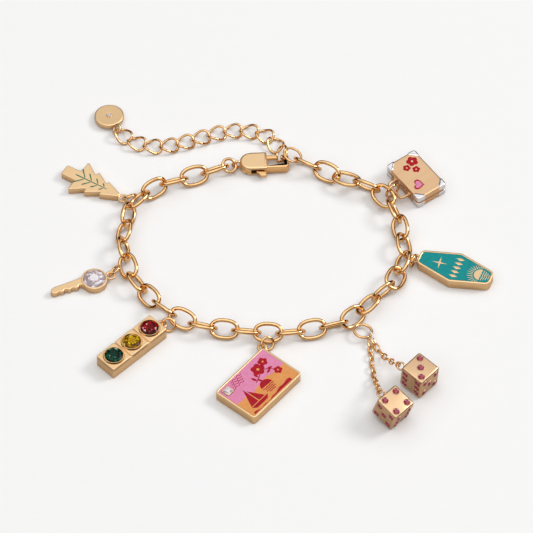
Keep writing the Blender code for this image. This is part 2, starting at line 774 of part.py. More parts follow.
def build_signal(frames):
    eye = hang(frames, "signal", RING_SIZE, EYE_RADIUS, EYE_WIRE)
    frame = charm_frame(eye, "signal")
    start = EYE_RADIUS + EYE_WIRE / 4
    half = SIGNAL_WIDTH / 2
    cell = SIGNAL_LENGTH / 3
    outline = rounded_outline(box_outline(start, start + SIGNAL_LENGTH, -half, half), 0.0003, 2)
    signal = place_part("signal_body", plate_mesh(outline, 0.0, SIGNAL_HEIGHT), frame, "gold")
    girdle = SIGNAL_HEIGHT + SIGNAL_COLLAR - 0.0001
    floor = girdle - SIGNAL_STONE_RADIUS * 0.38 - STONE_SEAT
    collars = []
    seats = []
    grooves = []
    centres = [Matrix.Translation((start + cell * (i + 0.5), 0.0, 0.0)) for i in range(3)]
    for centre in centres:
        collar = rod_mesh(
            SIGNAL_STONE_RADIUS + SIGNAL_COLLAR, SIGNAL_HEIGHT - GAP, SIGNAL_HEIGHT + SIGNAL_COLLAR, 16)
        seat = rod_mesh(SIGNAL_STONE_RADIUS + STONE_SEAT * 1.5, floor, girdle + SIGNAL_COLLAR, 16)
        collars.append((collar, centre))
        seats.append((seat, centre))
    for i in (1, 2):
        x = start + cell * i
        groove = box_outline(x - SIGNAL_GROOVE / 2, x + SIGNAL_GROOVE / 2, -half - GAP, half + GAP)
        cut = plate_mesh(groove, SIGNAL_HEIGHT - SIGNAL_GROOVE, SIGNAL_HEIGHT + GAP)
        grooves.append((cut, Matrix.Identity(4)))
    cut_or_fuse(signal, "DIFFERENCE", grooves)
    cut_or_fuse(signal, "UNION", collars)
    cut_or_fuse(signal, "UNION", eye_piece())
    cut_or_fuse(signal, "DIFFERENCE", seats)
    for centre, colour in zip(centres, ("red", "yellow", "green")):
        mesh = stone_mesh(SIGNAL_STONE_RADIUS, girdle, 8)
        place_part("signal_stone_" + colour, mesh, frame @ centre, colour + "_stone")


def build_postcard(frames):
    """The card hangs by a corner; its own frame starts at that corner, x along the long edge."""
    eye = hang(frames, "postcard", RING_SIZE, EYE_RADIUS, EYE_WIRE)
    corner = EYE_RADIUS - EYE_WIRE / 4
    frame = charm_frame(eye, "postcard")
    card = frame @ Matrix.Translation((corner, 0.0, 0.0)) @ Matrix.Rotation(math.radians(-45.0), 4, "Z")
    outline = rounded_outline(box_outline(0.0, CARD_LENGTH, 0.0, CARD_WIDTH), 0.0005, 3)
    postcard = place_part("postcard", plate_mesh(outline, 0.0, CARD_THICKNESS), card, "gold")
    floor = CARD_THICKNESS - ENAMEL_DEPTH
    recess = box_outline(CARD_RIM, CARD_LENGTH - CARD_RIM, CARD_RIM, CARD_WIDTH - CARD_RIM)
    cut_or_fuse(postcard, "DIFFERENCE", [(plate_mesh(recess, floor, CARD_THICKNESS + GAP), Matrix.Identity(4))])
    back = card.inverted() @ frame
    cut_or_fuse(postcard, "UNION", [(mesh, back @ matrix) for mesh, matrix in eye_piece()])
    stamp = (CARD_LENGTH - STAMP_INSET, STAMP_INSET)
    half = STAMP_SIZE / 2
    post = box_outline(stamp[0] - half, stamp[0] + half, stamp[1] - half, stamp[1] + half)
    table = turned_mesh(
        [
            (0.0, CARD_THICKNESS + 0.0003),
            (half * 0.9, CARD_THICKNESS + 0.0003),
            (half * 1.41, CARD_THICKNESS - GAP),
            (half * 1.41, floor - GAP),
            (0.0, floor - GAP),
        ],
        4,
    )
    turn = Matrix.Translation((stamp[0], stamp[1], 0.0)) @ Matrix.Rotation(math.radians(45.0), 4, "Z")
    cut_or_fuse(postcard, "UNION", [(table, turn)])
    gap = ENAMEL_GAP
    slab = box_outline(
        CARD_RIM + gap, CARD_LENGTH - CARD_RIM - gap, CARD_RIM + gap, CARD_WIDTH - CARD_RIM - gap)
    enamel = place_part(
        "postcard_enamel", plate_mesh(slab, floor + gap, CARD_THICKNESS - gap), card, "pink_enamel")
    opening = [(x + math.copysign(gap, x - stamp[0]), y + math.copysign(gap, y - stamp[1])) for x, y in post]
    hole = plate_mesh(opening, floor, CARD_THICKNESS + GAP)
    cut_or_fuse(enamel, "DIFFERENCE", [(hole, Matrix.Identity(4))])


def pip_places(count):
    """The places of the pips on a face, in pip spacings."""
    centre = [(0, 0)] if count % 2 else []
    corners = [(-1, -1), (1, 1)] if count > 1 else []
    others = [(-1, 1), (1, -1)] if count > 3 else []
    sides = [(-1, 0), (1, 0)] if count == 6 else []
    return centre + corners + others + sides


def build_die(name):
    """A cube with a fused stone in each pip and an eye; returns the middle of the eye."""
    x, y, yaw, lean, along_edge, eye_turn, faces = DICE[name]
    half = DIE_EDGE / 2
    up, near, right = faces
    quarter = Matrix.Rotation(math.radians(90.0), 4, "Z")
    views = (
        (up, Matrix.Identity(4)),
        (near, Matrix.Rotation(math.radians(90.0), 4, "X")),
        (right, Matrix.Rotation(math.radians(90.0), 4, "Y") @ quarter),
        (7 - right, Matrix.Rotation(math.radians(-90.0), 4, "Y") @ quarter),
        (7 - near, Matrix.Rotation(math.radians(-90.0), 4, "X")),
        (7 - up, Matrix.Rotation(math.radians(180.0), 4, "X")),
    )
    top = half + PIP_HEIGHT
    low = half - GAP
    pip = turned_mesh([(0.0, top), (PIP_RADIUS * 0.55, top), (PIP_RADIUS, low), (0.0, low)], 6)
    pips = []
    for count, view in views:
        for across, along in pip_places(count):
            spot = Matrix.Translation((across * PIP_SPACING, along * PIP_SPACING, 0.0))
            pips.append((pip, view @ spot))
    turn = Matrix.Rotation(math.radians(yaw), 4, "Z") @ Matrix.Rotation(math.radians(lean), 4, "X")
    edges = [Vector((u, v, -half)) for u in (-half, half) for v in (DIE_CORNER - half, half - DIE_CORNER)]
    lowest = min((turn @ edge).z for edge in edges)
    for mesh, matrix in pips:
        lowest = min(lowest, min((turn @ matrix @ vertex.co).z for vertex in mesh.vertices))
    frame = Matrix.Translation((x, y, -lowest)) @ turn
    cube = bmesh.new()
    bmesh.ops.create_cube(cube, size=DIE_EDGE)
    bmesh.ops.bevel(cube, geom=list(cube.edges), offset=DIE_CORNER, segments=1, affect="EDGES")
    mesh = bpy.data.meshes.new(name)
    cube.to_mesh(mesh)
    cube.free()
    die = place_part(name, mesh, frame, "gold")
    cut_or_fuse(die, "UNION", pips)
    eye_local = Vector((along_edge, half + DIE_EYE_RADIUS - DIE_EYE_WIRE / 4, half - 0.0009))
    eye = Matrix.Translation(eye_local) @ Matrix.Rotation(math.radians(eye_turn), 4, "Y")
    cut_or_fuse(die, "UNION", [(ring_mesh(DIE_EYE_RADIUS, DIE_EYE_WIRE), eye)])
    return frame @ eye_local


def strand_line(start, end, level, rise_start, bow):
    """A line that drops to the table, runs along it and rises to its end, with a sideways bow."""
    across = Vector((end.y - start.y, start.x - end.x, 0.0)).normalized()
    line = []
    for i in range(81):
        t = i / 80
        point = start.lerp(end, t) + across * bow * math.sin(math.pi * t)
        rise = max(0.0, (t - rise_start) / (1 - rise_start)) ** 1.5
        fall = max(0.0, 1 - t / 0.2) ** 2
        point.z = level + (end.z - level) * rise + (start.z - level) * fall
        line.append(point)
    return line


def build_dice(frames):
    """The dice ring, the connector with its two strands, and a die at the end of each."""
    level = FINE_WIRE / 2 + (FINE_WIDTH - FINE_WIRE) / 2 * math.sin(math.radians(LINK_ROLL))
    hub = hang(frames, "dice", DICE_RING_SIZE, CONNECTOR_RADIUS, CONNECTOR_WIRE)
    link = wire_mesh(oval_points(FINE_LENGTH, FINE_WIDTH, FINE_WIRE, FINE_SEGMENTS), FINE_WIRE / 2)
    pitch = FINE_LENGTH - 2 * FINE_WIRE + FINE_BITE
    connector = rolled_frame(hub, heading_vector(HANGS["dice"][-1]), CONNECTOR_ROLL)
    odd = []
    even = [(ring_mesh(CONNECTOR_RADIUS, CONNECTOR_WIRE), connector)]
    edge = CONNECTOR_RADIUS - CONNECTOR_WIRE / 2 + FINE_BITE
    for name, (count, place, rise_start) in STRANDS.items():
        turn = math.radians(place)
        start = connector @ Vector((edge * math.cos(turn), edge * math.sin(turn), 0.0))
        eye = build_die(name)
        inset = DIE_EYE_RADIUS - (DIE_EYE_WIRE + FINE_BITE) / 2 - GAP
        end = eye - (eye - start).normalized() * inset
        low = 0.0
        high = 0.01
        for _ in range(30):
            bow = (low + high) / 2
            places = march(strand_line(start, end, level, rise_start, bow), [pitch] * count)
            if len(places) > count:
                high = bow
                joints = places
            else:
                low = bow
        for i in range(count):
            direction = joints[i + 1] - joints[i]
            roll = -LINK_ROLL if i % 2 else LINK_ROLL
            group = even if i % 2 else odd
            group.append((link, rolled_frame((joints[i] + joints[i + 1]) / 2, direction, roll)))
    strands = place_part("dice_chains", joined_mesh(odd), Matrix.Identity(4), "gold")
    cut_or_fuse(strands, "UNION", even)


def fob_outline(inset):
    """The lozenge with cut ends, drawn in by the inset."""
    end = FOB_END_WIDTH / 2 - inset
    side = FOB_WIDTH / 2 - inset
    corners = [
        (inset, -end), (FOB_LENGTH / 2, -side), (FOB_LENGTH - inset, -end),
        (FOB_LENGTH - inset, end), (FOB_LENGTH / 2, side), (inset, end),
    ]
    return rounded_outline(corners, FOB_CORNER - inset, 4)


def build_fob(frames):
    eye = hang(frames, "fob", RING_SIZE, EYE_RADIUS, EYE_WIRE)
    frame = charm_frame(eye, "fob")
    tray = Matrix.Translation((EYE_RADIUS - EYE_WIRE / 4, 0.0, 0.0))
    fob = place_part("fob_charm", plate_mesh(fob_outline(0.0), 0.0, FOB_THICKNESS), frame @ tray, "gold")
    floor = FOB_THICKNESS - ENAMEL_DEPTH
    recess = plate_mesh(fob_outline(FOB_RIM), floor, FOB_THICKNESS + GAP)
    cut_or_fuse(fob, "DIFFERENCE", [(recess, Matrix.Identity(4))])
    cut_or_fuse(fob, "UNION", [(mesh, tray.inverted() @ matrix) for mesh, matrix in eye_piece()])
    slab = plate_mesh(fob_outline(FOB_RIM + ENAMEL_GAP), floor + ENAMEL_GAP, FOB_THICKNESS - ENAMEL_GAP)
    place_part("fob_enamel", slab, frame @ tray, "teal_enamel")


def build_case(frames):
    """Two shells with a seam between them, corner caps and a handle; the ring holds the handle."""
    bar = hang(frames, "case", CASE_RING_SIZE, 0.0, HANDLE_WIRE, HANDLE_HEIGHT)
    frame = charm_frame(bar, "case")
    identity = Matrix.Identity(4)
    near = HANDLE_REACH
    half = CASE_LENGTH / 2
    low = CASE_HEIGHT / 2 - CASE_SEAM / 2
    high = CASE_HEIGHT / 2 + CASE_SEAM / 2
    shell = rounded_outline(box_outline(near, near + CASE_WIDTH, -half, half), CASE_CORNER, 2)
    inset = CASE_SEAM
    core = box_outline(near + inset, near + CASE_WIDTH - inset, -half + inset, half - inset)
    core = rounded_outline(core, CASE_CORNER - inset, 2)
    case = place_part("case_charm", plate_mesh(shell, 0.0, low), frame, "gold")
    cut_or_fuse(case, "UNION", [(plate_mesh(core, low / 2, high + low / 2), identity)])
    cut_or_fuse(case, "UNION", [(plate_mesh(shell, high, CASE_HEIGHT), identity)])
    proud = CASE_CAP_PROUD
    caps = []
    for x, sx in ((near, 1), (near + CASE_WIDTH, -1)):
        for y, sy in ((-half, 1), (half, -1)):
            xs = sorted((x - sx * proud, x + sx * CASE_CAP))
            ys = sorted((y - sy * proud, y + sy * CASE_CAP))
            cap = rounded_outline(box_outline(xs[0], xs[1], ys[0], ys[1]), CASE_CAP * 0.45, 2)
            caps.append((plate_mesh(cap, high + proud, CASE_HEIGHT + proud), identity))
            caps.append((plate_mesh(cap, proud, low - proud), identity))
    cut_or_fuse(case, "UNION", caps)
    span = HANDLE_SPAN / 2
    bend = [(near, -span), (0.0, -span * 0.7), (0.0, span * 0.7), (near, span)]
    bend = rounded_outline(bend, 0.0007, 2)
    wire = [(near + 2 * inset, -span), *bend[3:9], (near + 2 * inset, span)]
    handle = wire_mesh([(x, y, HANDLE_HEIGHT) for x, y in wire], HANDLE_WIRE / 2, closed=False)
    cut_or_fuse(case, "UNION", [(handle, identity)])


def stand_on_origin():
    """Move the origin under the middle of the whole bracelet."""
    bpy.context.view_layer.update()
    graph = bpy.context.evaluated_depsgraph_get()
    low = Vector((math.inf,) * 3)
    high = Vector((-math.inf,) * 3)
    for part in PARTS.objects:
        shape = part.evaluated_get(graph)
        for vertex in shape.data.vertices:
            spot = shape.matrix_world @ vertex.co
            low = Vector(map(min, low, spot))
            high = Vector(map(max, high, spot))
    ORIGIN.location = (-(low.x + high.x) / 2, -(low.y + high.y) / 2, -low.z)
    bpy.context.view_layer.update()


clear_scene()
PARTS = new_collection("charm_bracelet")
CUTTERS = new_collection("cutters")
MATERIALS = {name: finish_material(name) for name in FINISHES}
ORIGIN = bpy.data.objects.new("bracelet_origin", None)
bpy.context.scene.collection.objects.link(ORIGIN)

clasp_frame = flat_frame(CLASP_PLACE, CLASP_HEADING)
build_clasp(clasp_frame)
chain_start = build_clasp_ring(clasp_frame)
chain_end = build_extender(clasp_frame)
link_frames = build_main_chain(chain_joints(chain_start, chain_end))
build_tree(link_frames)
build_key(link_frames)
build_signal(link_frames)
build_postcard(link_frames)
build_dice(link_frames)
build_fob(link_frames)
build_case(link_frames)
stand_on_origin()
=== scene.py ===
import math
import random

import bmesh
import bpy
import numpy as np
from mathutils import Matrix, Vector


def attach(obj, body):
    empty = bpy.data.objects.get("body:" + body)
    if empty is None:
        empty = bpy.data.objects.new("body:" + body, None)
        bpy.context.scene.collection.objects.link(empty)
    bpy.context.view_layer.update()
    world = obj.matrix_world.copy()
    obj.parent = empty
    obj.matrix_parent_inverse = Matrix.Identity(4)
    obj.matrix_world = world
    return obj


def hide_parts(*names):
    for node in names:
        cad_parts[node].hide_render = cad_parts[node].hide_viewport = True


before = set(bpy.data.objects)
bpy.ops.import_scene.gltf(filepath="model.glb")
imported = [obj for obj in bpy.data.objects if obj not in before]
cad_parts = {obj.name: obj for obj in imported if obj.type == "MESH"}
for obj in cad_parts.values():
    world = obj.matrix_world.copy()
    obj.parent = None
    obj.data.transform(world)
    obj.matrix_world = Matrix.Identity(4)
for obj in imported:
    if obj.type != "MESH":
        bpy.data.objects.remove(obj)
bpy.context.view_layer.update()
print("frame loaded:", len(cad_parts), "nodes")

mm = 0.001
identity = Matrix.Identity(4)


def hexToLinear(text):
    values = [int(text[i:i + 2], 16) / 255 for i in (1, 3, 5)]
    return tuple(v / 12.92 if v <= 0.04045 else ((v + 0.055) / 1.055) ** 2.4 for v in values) + (1.0,)


def addNode(tree, kind, settings=None, inputs=None):
    node = tree.nodes.new(kind)
    for key, value in (settings or {}).items():
        setattr(node, key, value)
    for key, value in (inputs or {}).items():
        if isinstance(value, bpy.types.NodeSocket):
            tree.links.new(value, node.inputs[key])
        else:
            node.inputs[key].default_value = value
    return node


def newObject(name, data):
    item = bpy.data.objects.new(name, data)
    bpy.context.scene.collection.objects.link(item)
    return item


# Camera: above the table and in front of it, with a long lens
cameraView = {"elevation": 52.0, "distance": 2.0, "imageWidth": 0.1173, "sensor": 36.0,
              "target": (-0.001198, 0.000574, 0.0)}
cameraData = bpy.data.cameras.new("camera")
cameraData.sensor_width = cameraView["sensor"]
cameraData.lens = cameraView["sensor"] * cameraView["distance"] / cameraView["imageWidth"]
camera = newObject("camera", cameraData)
tilt = math.radians(cameraView["elevation"])
away = Vector((0.0, -math.cos(tilt), math.sin(tilt))) * cameraView["distance"]
camera.location = Vector(cameraView["target"]) + away
camera.rotation_euler = (math.pi / 2 - tilt, 0.0, 0.0)
bpy.context.scene.camera = camera
bpy.context.scene.view_settings.view_transform = "Standard"  # the photo keeps its colours as they are
print("camera placed")


# Materials
def newMaterial(name):
    material = bpy.data.materials.new(name)
    material.use_nodes = True
    tree = material.node_tree
    return material, tree, tree.nodes["Principled BSDF"]


def noiseIn(tree, sizeMm, detail=2.0, stretch=(1.0, 1.0, 1.0), turn=0.0):
    coordinates = addNode(tree, "ShaderNodeTexCoord")
    turned = addNode(tree, "ShaderNodeMapping", None, {
        "Vector": coordinates.outputs["Object"], "Rotation": (0.0, 0.0, math.radians(turn))})
    drawn = addNode(tree, "ShaderNodeMapping", None, {"Vector": turned.outputs["Vector"], "Scale": stretch})
    return addNode(tree, "ShaderNodeTexNoise", None, {
        "Vector": drawn.outputs["Vector"], "Scale": 1000.0 / sizeMm, "Detail": detail})


def plateFinish(name, pale, deep, roughness, spread, grainMm, grainDepth, stretch=(1.0, 1.0, 1.0), turn=0.0):
    # Plate on cast brass: a metal whose reflections carry all of its colour, over a fine grain
    material, tree, shader = newMaterial(name)
    cloud = noiseIn(tree, 2.5, 2.0, stretch, turn)
    mix = addNode(tree, "ShaderNodeMix", {"data_type": "RGBA"}, {
        0: cloud.outputs["Fac"], 6: hexToLinear(pale), 7: hexToLinear(deep)})
    grain = noiseIn(tree, grainMm, 3.0, stretch, turn)
    rough = addNode(tree, "ShaderNodeMapRange", None, {
        "Value": grain.outputs["Fac"], "To Min": roughness - spread, "To Max": roughness + spread})
    bump = addNode(tree, "ShaderNodeBump", None, {
        "Height": grain.outputs["Fac"], "Strength": grainDepth, "Distance": 0.00003})
    tree.links.new(mix.outputs[2], shader.inputs["Base Color"])
    tree.links.new(rough.outputs["Result"], shader.inputs["Roughness"])
    tree.links.new(bump.outputs["Normal"], shader.inputs["Normal"])
    shader.inputs["Metallic"].default_value = 1.0
    return material


def enamelFinish(name, light, dark, roughness=0.28):
    # Hard enamel, stoned flat and fired: glassy with faint clouds of colour
    material, tree, shader = newMaterial(name)
    cloud = noiseIn(tree, 0.7, 4.0)
    ramp = addNode(tree, "ShaderNodeMapRange", None, {
        "Value": cloud.outputs["Fac"], "From Min": 0.35, "From Max": 0.65})
    mix = addNode(tree, "ShaderNodeMix", {"data_type": "RGBA"}, {
        0: ramp.outputs["Result"], 6: hexToLinear(light), 7: hexToLinear(dark)})
    ripple = noiseIn(tree, 0.35)
    bump = addNode(tree, "ShaderNodeBump", None, {
        "Height": ripple.outputs["Fac"], "Strength": 0.12, "Distance": 0.00003})
    tree.links.new(mix.outputs[2], shader.inputs["Base Color"])
    tree.links.new(bump.outputs["Normal"], shader.inputs["Normal"])
    shader.inputs["Roughness"].default_value = roughness
    shader.inputs["IOR"].default_value = 1.52
    shader.inputs["Specular IOR Level"].default_value = 0.2
    return material


def stoneFinish(name, dark, middle, light, paintedGlint):
    # Cut crystal over a foil, with painted reflections: a painted brightness per facet, up to a white glint
    material, tree, shader = newMaterial(name)
    tone = addNode(tree, "ShaderNodeAttribute", {"attribute_name": "facetPaintedLight"})
    ramp = addNode(tree, "ShaderNodeValToRGB", None, {"Fac": tone.outputs["Fac"]})
    ramp.color_ramp.elements[0].color = hexToLinear(dark)
    ramp.color_ramp.elements[1].color = hexToLinear(paintedGlint)
    ramp.color_ramp.elements.new(0.5).color = hexToLinear(middle)
    ramp.color_ramp.elements.new(0.92).color = hexToLinear(light)
    cloud = noiseIn(tree, 0.5)
    mix = addNode(tree, "ShaderNodeMix", {"data_type": "RGBA", "blend_type": "MULTIPLY"}, {
        0: 0.2, 6: ramp.outputs["Color"], 7: cloud.outputs["Fac"]})
    tree.links.new(mix.outputs[2], shader.inputs["Base Color"])
    shader.inputs["Roughness"].default_value = 0.05
    shader.inputs["IOR"].default_value = 1.6
    shader.inputs["Specular IOR Level"].default_value = 0.12
    return material


# Gold plate on barrel-polished wire: sharp warm mirror lines
polishedGold = plateFinish("polished gold plate", "#facf98", "#f1bf82", 0.07, 0.02, 0.5, 0.01)
# Gold plate on cast faces that were blasted and waxed: a soft even sheen
satinGold = plateFinish("satin gold plate", "#f6d4a6", "#edc897", 0.34, 0.05, 0.16, 0.35)
# The same on the cubes, buffed by hand: a little smoother and deeper
cubeGold = plateFinish("soft gold plate", "#e2bf9a", "#dab58c", 0.3, 0.05, 0.16, 0.25)
# Gold plate drawn along a fine belt: faint lines along the suitcase
brushedGold = plateFinish("brushed gold plate", "#eecaa2", "#dfb488", 0.36, 0.08, 0.18, 0.6,
                          (0.08, 1.0, 1.0), -36.0)
# Rhodium plate, polished: white and bright on the suitcase's corners
brightSilver = plateFinish("bright rhodium plate", "#f8f7fb", "#ecebf2", 0.16, 0.04, 0.5, 0.05)
# Hard enamels, stoned level with the metal
tealEnamel = enamelFinish("teal hard enamel", "#008f90", "#008486")
pinkEnamel = enamelFinish("pink hard enamel", "#e08cb0", "#d882a8")
orangeEnamel = enamelFinish("orange hard enamel", "#e29a58", "#d99050")
crimsonEnamel = enamelFinish("crimson hard enamel", "#b40020", "#9c0016")
greenEnamel = enamelFinish("green hard enamel", "#0a7560", "#006350")
# Cut glass crystals over a mirror foil, their facets painted with reflections and glints
clearStone = stoneFinish("clear crystal", "#a8969c", "#e8dde3", "#f8f3f7", "#ffffff")
redStone = stoneFinish("red crystal", "#260002", "#780208", "#c40a1a", "#ffd8d8")
yellowStone = stoneFinish("yellow crystal", "#4c2600", "#c89600", "#f0d010", "#fffbc8")
greenStone = stoneFinish("green crystal", "#000c08", "#00301f", "#0a664a", "#b0e0d0")
roseStone = stoneFinish("rose crystal", "#6a1622", "#b4485c", "#e0909e", "#ffe4e8")
print("materials made")


# Shapes
def turnBy(angle, axis):
    return Matrix.Rotation(math.radians(angle), 4, axis)


def placed(x, y, z, rx, ry, rz):
    # From a charm's own millimetres to metres in the shared frame
    turn = turnBy(rz, "Z") @ turnBy(ry, "Y") @ turnBy(rx, "X")
    return Matrix.Translation((x * mm, y * mm, z * mm)) @ turn @ Matrix.Scale(mm, 4)


def moved(x, y, z=0.0, turn=0.0):
    return Matrix.Translation((x, y, z)) @ turnBy(turn, "Z")


def boxOutline(x0, y0, x1, y1):
    return [(x0, y0), (x1, y0), (x1, y1), (x0, y1)]


def roundedOutline(corners, radius, steps=5):
    points = []
    for i, corner in enumerate(corners):
        here = Vector(corner)
        back, on = Vector(corners[i - 1]) - here, Vector(corners[(i + 1) % len(corners)]) - here
        longest = min(back.length, on.length) * 0.48
        back, on = back.normalized(), on.normalized()
        reach = min(radius / math.tan(back.angle(on) / 2), longest)
        for k in range(steps + 1):
            t = k / steps
            a = here + back * reach * (1 - t)
            b = here + on * reach * t
            points.append(tuple(a.lerp(b, t)))
    return points


def insetOutline(points, inset):
    # Each point moves square to its two sides, so a rounded corner stays round
    stepped = []
    for i, point in enumerate(points):
        here = Vector(point)
        a = (here - Vector(points[i - 1])).normalized()
        b = (Vector(points[(i + 1) % len(points)]) - here).normalized()
        normal = Vector((-a.y - b.y, a.x + b.x))
        normal.normalize()
        stepped.append(tuple(here + normal * inset / max(0.4, normal.dot(Vector((-a.y, a.x))))))
    return stepped


def leftHanded(points):
    area = sum(p[0] * q[1] - q[0] * p[1] for p, q in zip(points, points[1:] + points[:1]))
    return points if area > 0 else points[::-1]


class Shape:
    def __init__(self):
        self.mesh = bmesh.new()
        # Painted light: a brightness per face corner, shown by the crystal finishes as reflections
        self.tone = self.mesh.loops.layers.float_color.new("facetPaintedLight")

    def lofted(self, sections, matrix=identity, slot=0):
        loops = [[self.mesh.verts.new(matrix @ Vector(point)) for point in section] for section in sections]
        faces = [self.mesh.faces.new(loops[0][::-1]), self.mesh.faces.new(loops[-1])]
        for low, high in zip(loops, loops[1:]):
            for i in range(len(low)):
                j = (i + 1) % len(low)
                faces.append(self.mesh.faces.new((low[i], low[j], high[j], high[i])))
        for face in faces:
            face.material_index = slot
        return faces

    def profile(self, outline, steps, matrix=identity, slot=0):
        outline = leftHanded(list(outline))
        self.lofted([[(x, y, height) for x, y in (insetOutline(outline, inset) if inset else outline)]
                     for inset, height in steps], matrix, slot)

    def slab(self, outline, bottom, top, soft, matrix=identity, slot=0):
        soft = min(soft, (top - bottom) * 0.49)
        edge = [(soft, bottom), (soft * 0.3, bottom + soft * 0.3), (0.0, bottom + soft)]
        edge += [(0.0, top - soft), (soft * 0.3, top - soft * 0.3), (soft, top)]
        self.profile(outline, edge, matrix, slot)

    def turned(self, profile, steps, matrix=identity, slot=0):
        rings = []
        for radius, height in profile:
            count = steps if radius else 1
            ring = []
            for i in range(count):
                angle = math.tau * i / steps
                ring.append(self.mesh.verts.new(
                    matrix @ Vector((radius * math.cos(angle), radius * math.sin(angle), height))))
            rings.append(ring)
        for low, high in zip(rings, rings[1:]):
            for i in range(steps):
                j = (i + 1) % steps
                corners = [low[i % len(low)], low[j % len(low)], high[j % len(high)], high[i % len(high)]]
                corners = [c for k, c in enumerate(corners) if c not in corners[:k]]
                if len(corners) > 2:
                    self.mesh.faces.new(corners).material_index = slot

    def torus(self, radius, wire, matrix=identity, slot=0, steps=36, sides=12):
        rings = []
        for i in range(steps):
            a = math.tau * i / steps
            ring = []
            for j in range(sides):
                b = math.tau * j / sides
                r = radius + wire * math.cos(b)
                ring.append(self.mesh.verts.new(
                    matrix @ Vector((r * math.cos(a), r * math.sin(a), wire * math.sin(b)))))
            rings.append(ring)
        for i in range(steps):
            for j in range(sides):
                near, far, k = rings[i], rings[(i + 1) % steps], (j + 1) % sides
                self.mesh.faces.new((near[j], far[j], far[k], near[k])).material_index = slot

    def cutStone(self, radius, girdle, rise, steps, matrix=identity, slot=0, seed=1, calm=0.25):
        # Table, star, kite and girdle facets; each gets a painted brightness standing for its reflection
        pick = random.Random(seed)
        top = girdle + rise
        radii = [(0.0, top, 0.0), (0.22, top, 0.0), (0.4, top, 0.5), (0.58, top, 0.0),
                 (0.8, girdle + rise * 0.55, 0.5), (1.0, girdle, 0.0), (1.0, girdle - rise * 0.25, 0.0),
                 (0.3, girdle - radius * 0.36, 0.0), (0.0, girdle - radius * 0.36, 0.0)]
        rings = []
        for share, height, phase in radii:
            count = steps if share else 1
            angles = [math.tau * (i + phase) / steps for i in range(count)]
            rings.append([self.mesh.verts.new(matrix @ Vector((
                radius * share * math.cos(t), radius * share * math.sin(t), height))) for t in angles])
        for k, (inner, outer) in enumerate(zip(rings, rings[1:])):
            shift = radii[k + 1][2] - radii[k][2]
            for i in range(steps):
                j = (i + 1) % steps
                if len(inner) == 1:
                    groups = [(inner[0], outer[i], outer[j])]
                elif len(outer) == 1:
                    groups = [(inner[i], outer[0], inner[j])]
                elif shift > 0:
                    groups = [(inner[i], outer[i], inner[j]), (inner[j], outer[i], outer[j])]
                elif shift < 0:
                    groups = [(inner[i], outer[i], outer[j]), (inner[i], outer[j], inner[j])]
                else:
                    groups = [(inner[i], outer[i], outer[j], inner[j])]
                for group in groups:
                    face = self.mesh.faces.new(group)
                    face.material_index = slot
                    tone = calm + 0.35 * pick.random() if k < 2 else pick.random() ** 2
                    for loop in face.loops:
                        loop[self.tone] = (tone, tone, tone, 1.0)

    def finish(self, name, place, materials, nodes, slot, body="bracelet", sharp=32.0):
        bmesh.ops.recalc_face_normals(self.mesh, faces=self.mesh.faces)
        self.mesh.transform(placed(*place))
        data = bpy.data.meshes.new(name)
        self.mesh.to_mesh(data)
        self.mesh.free()
        for material in materials:
            data.materials.append(material)
        data.shade_smooth()
        data.set_sharp_from_angle(angle=math.radians(sharp))
        for face in data.polygons:
            face.use_smooth = len(face.vertices) < 5  # wide faces stay flat
        piece = newObject(name, data)
        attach(piece, body)
        if nodes:
            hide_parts(*nodes)


# Links, rings and pips: one Geometry Nodes tree sets a smooth closed wire at each place, another a stone
def startTree(name, sockets):
    tree = bpy.data.node_groups.new(name, "GeometryNodeTree")
    for label, kind in sockets.items():
        tree.interface.new_socket(label, in_out="INPUT", socket_type="NodeSocket" + kind)
    tree.interface.new_socket("Made", in_out="OUTPUT", socket_type="NodeSocketGeometry")
    return tree, tree.nodes.new("NodeGroupInput").outputs


def endTree(tree, start, shape, smooth):
    # The shape at each place, turned as the place says, as one mesh in its finish
    turn = addNode(tree, "GeometryNodeInputNamedAttribute", {"data_type": "FLOAT_VECTOR"}, {"Name": "turn"})
    rotation = addNode(tree, "FunctionNodeEulerToRotation", None, {0: turn.outputs["Attribute"]})
    spread = addNode(tree, "GeometryNodeInstanceOnPoints", None, {
        "Points": start["Places"], "Instance": shape, "Rotation": rotation.outputs[0]})
    real = addNode(tree, "GeometryNodeRealizeInstances", None, {"Geometry": spread.outputs["Instances"]})
    if smooth:
        real = addNode(tree, "GeometryNodeSetShadeSmooth", None, {0: real.outputs[0]})
    finish = addNode(tree, "GeometryNodeSetMaterial", None, {
        "Geometry": real.outputs[0], "Material": start["Finish"]})
    addNode(tree, "NodeGroupOutput", None, {"Made": finish.outputs["Geometry"]})


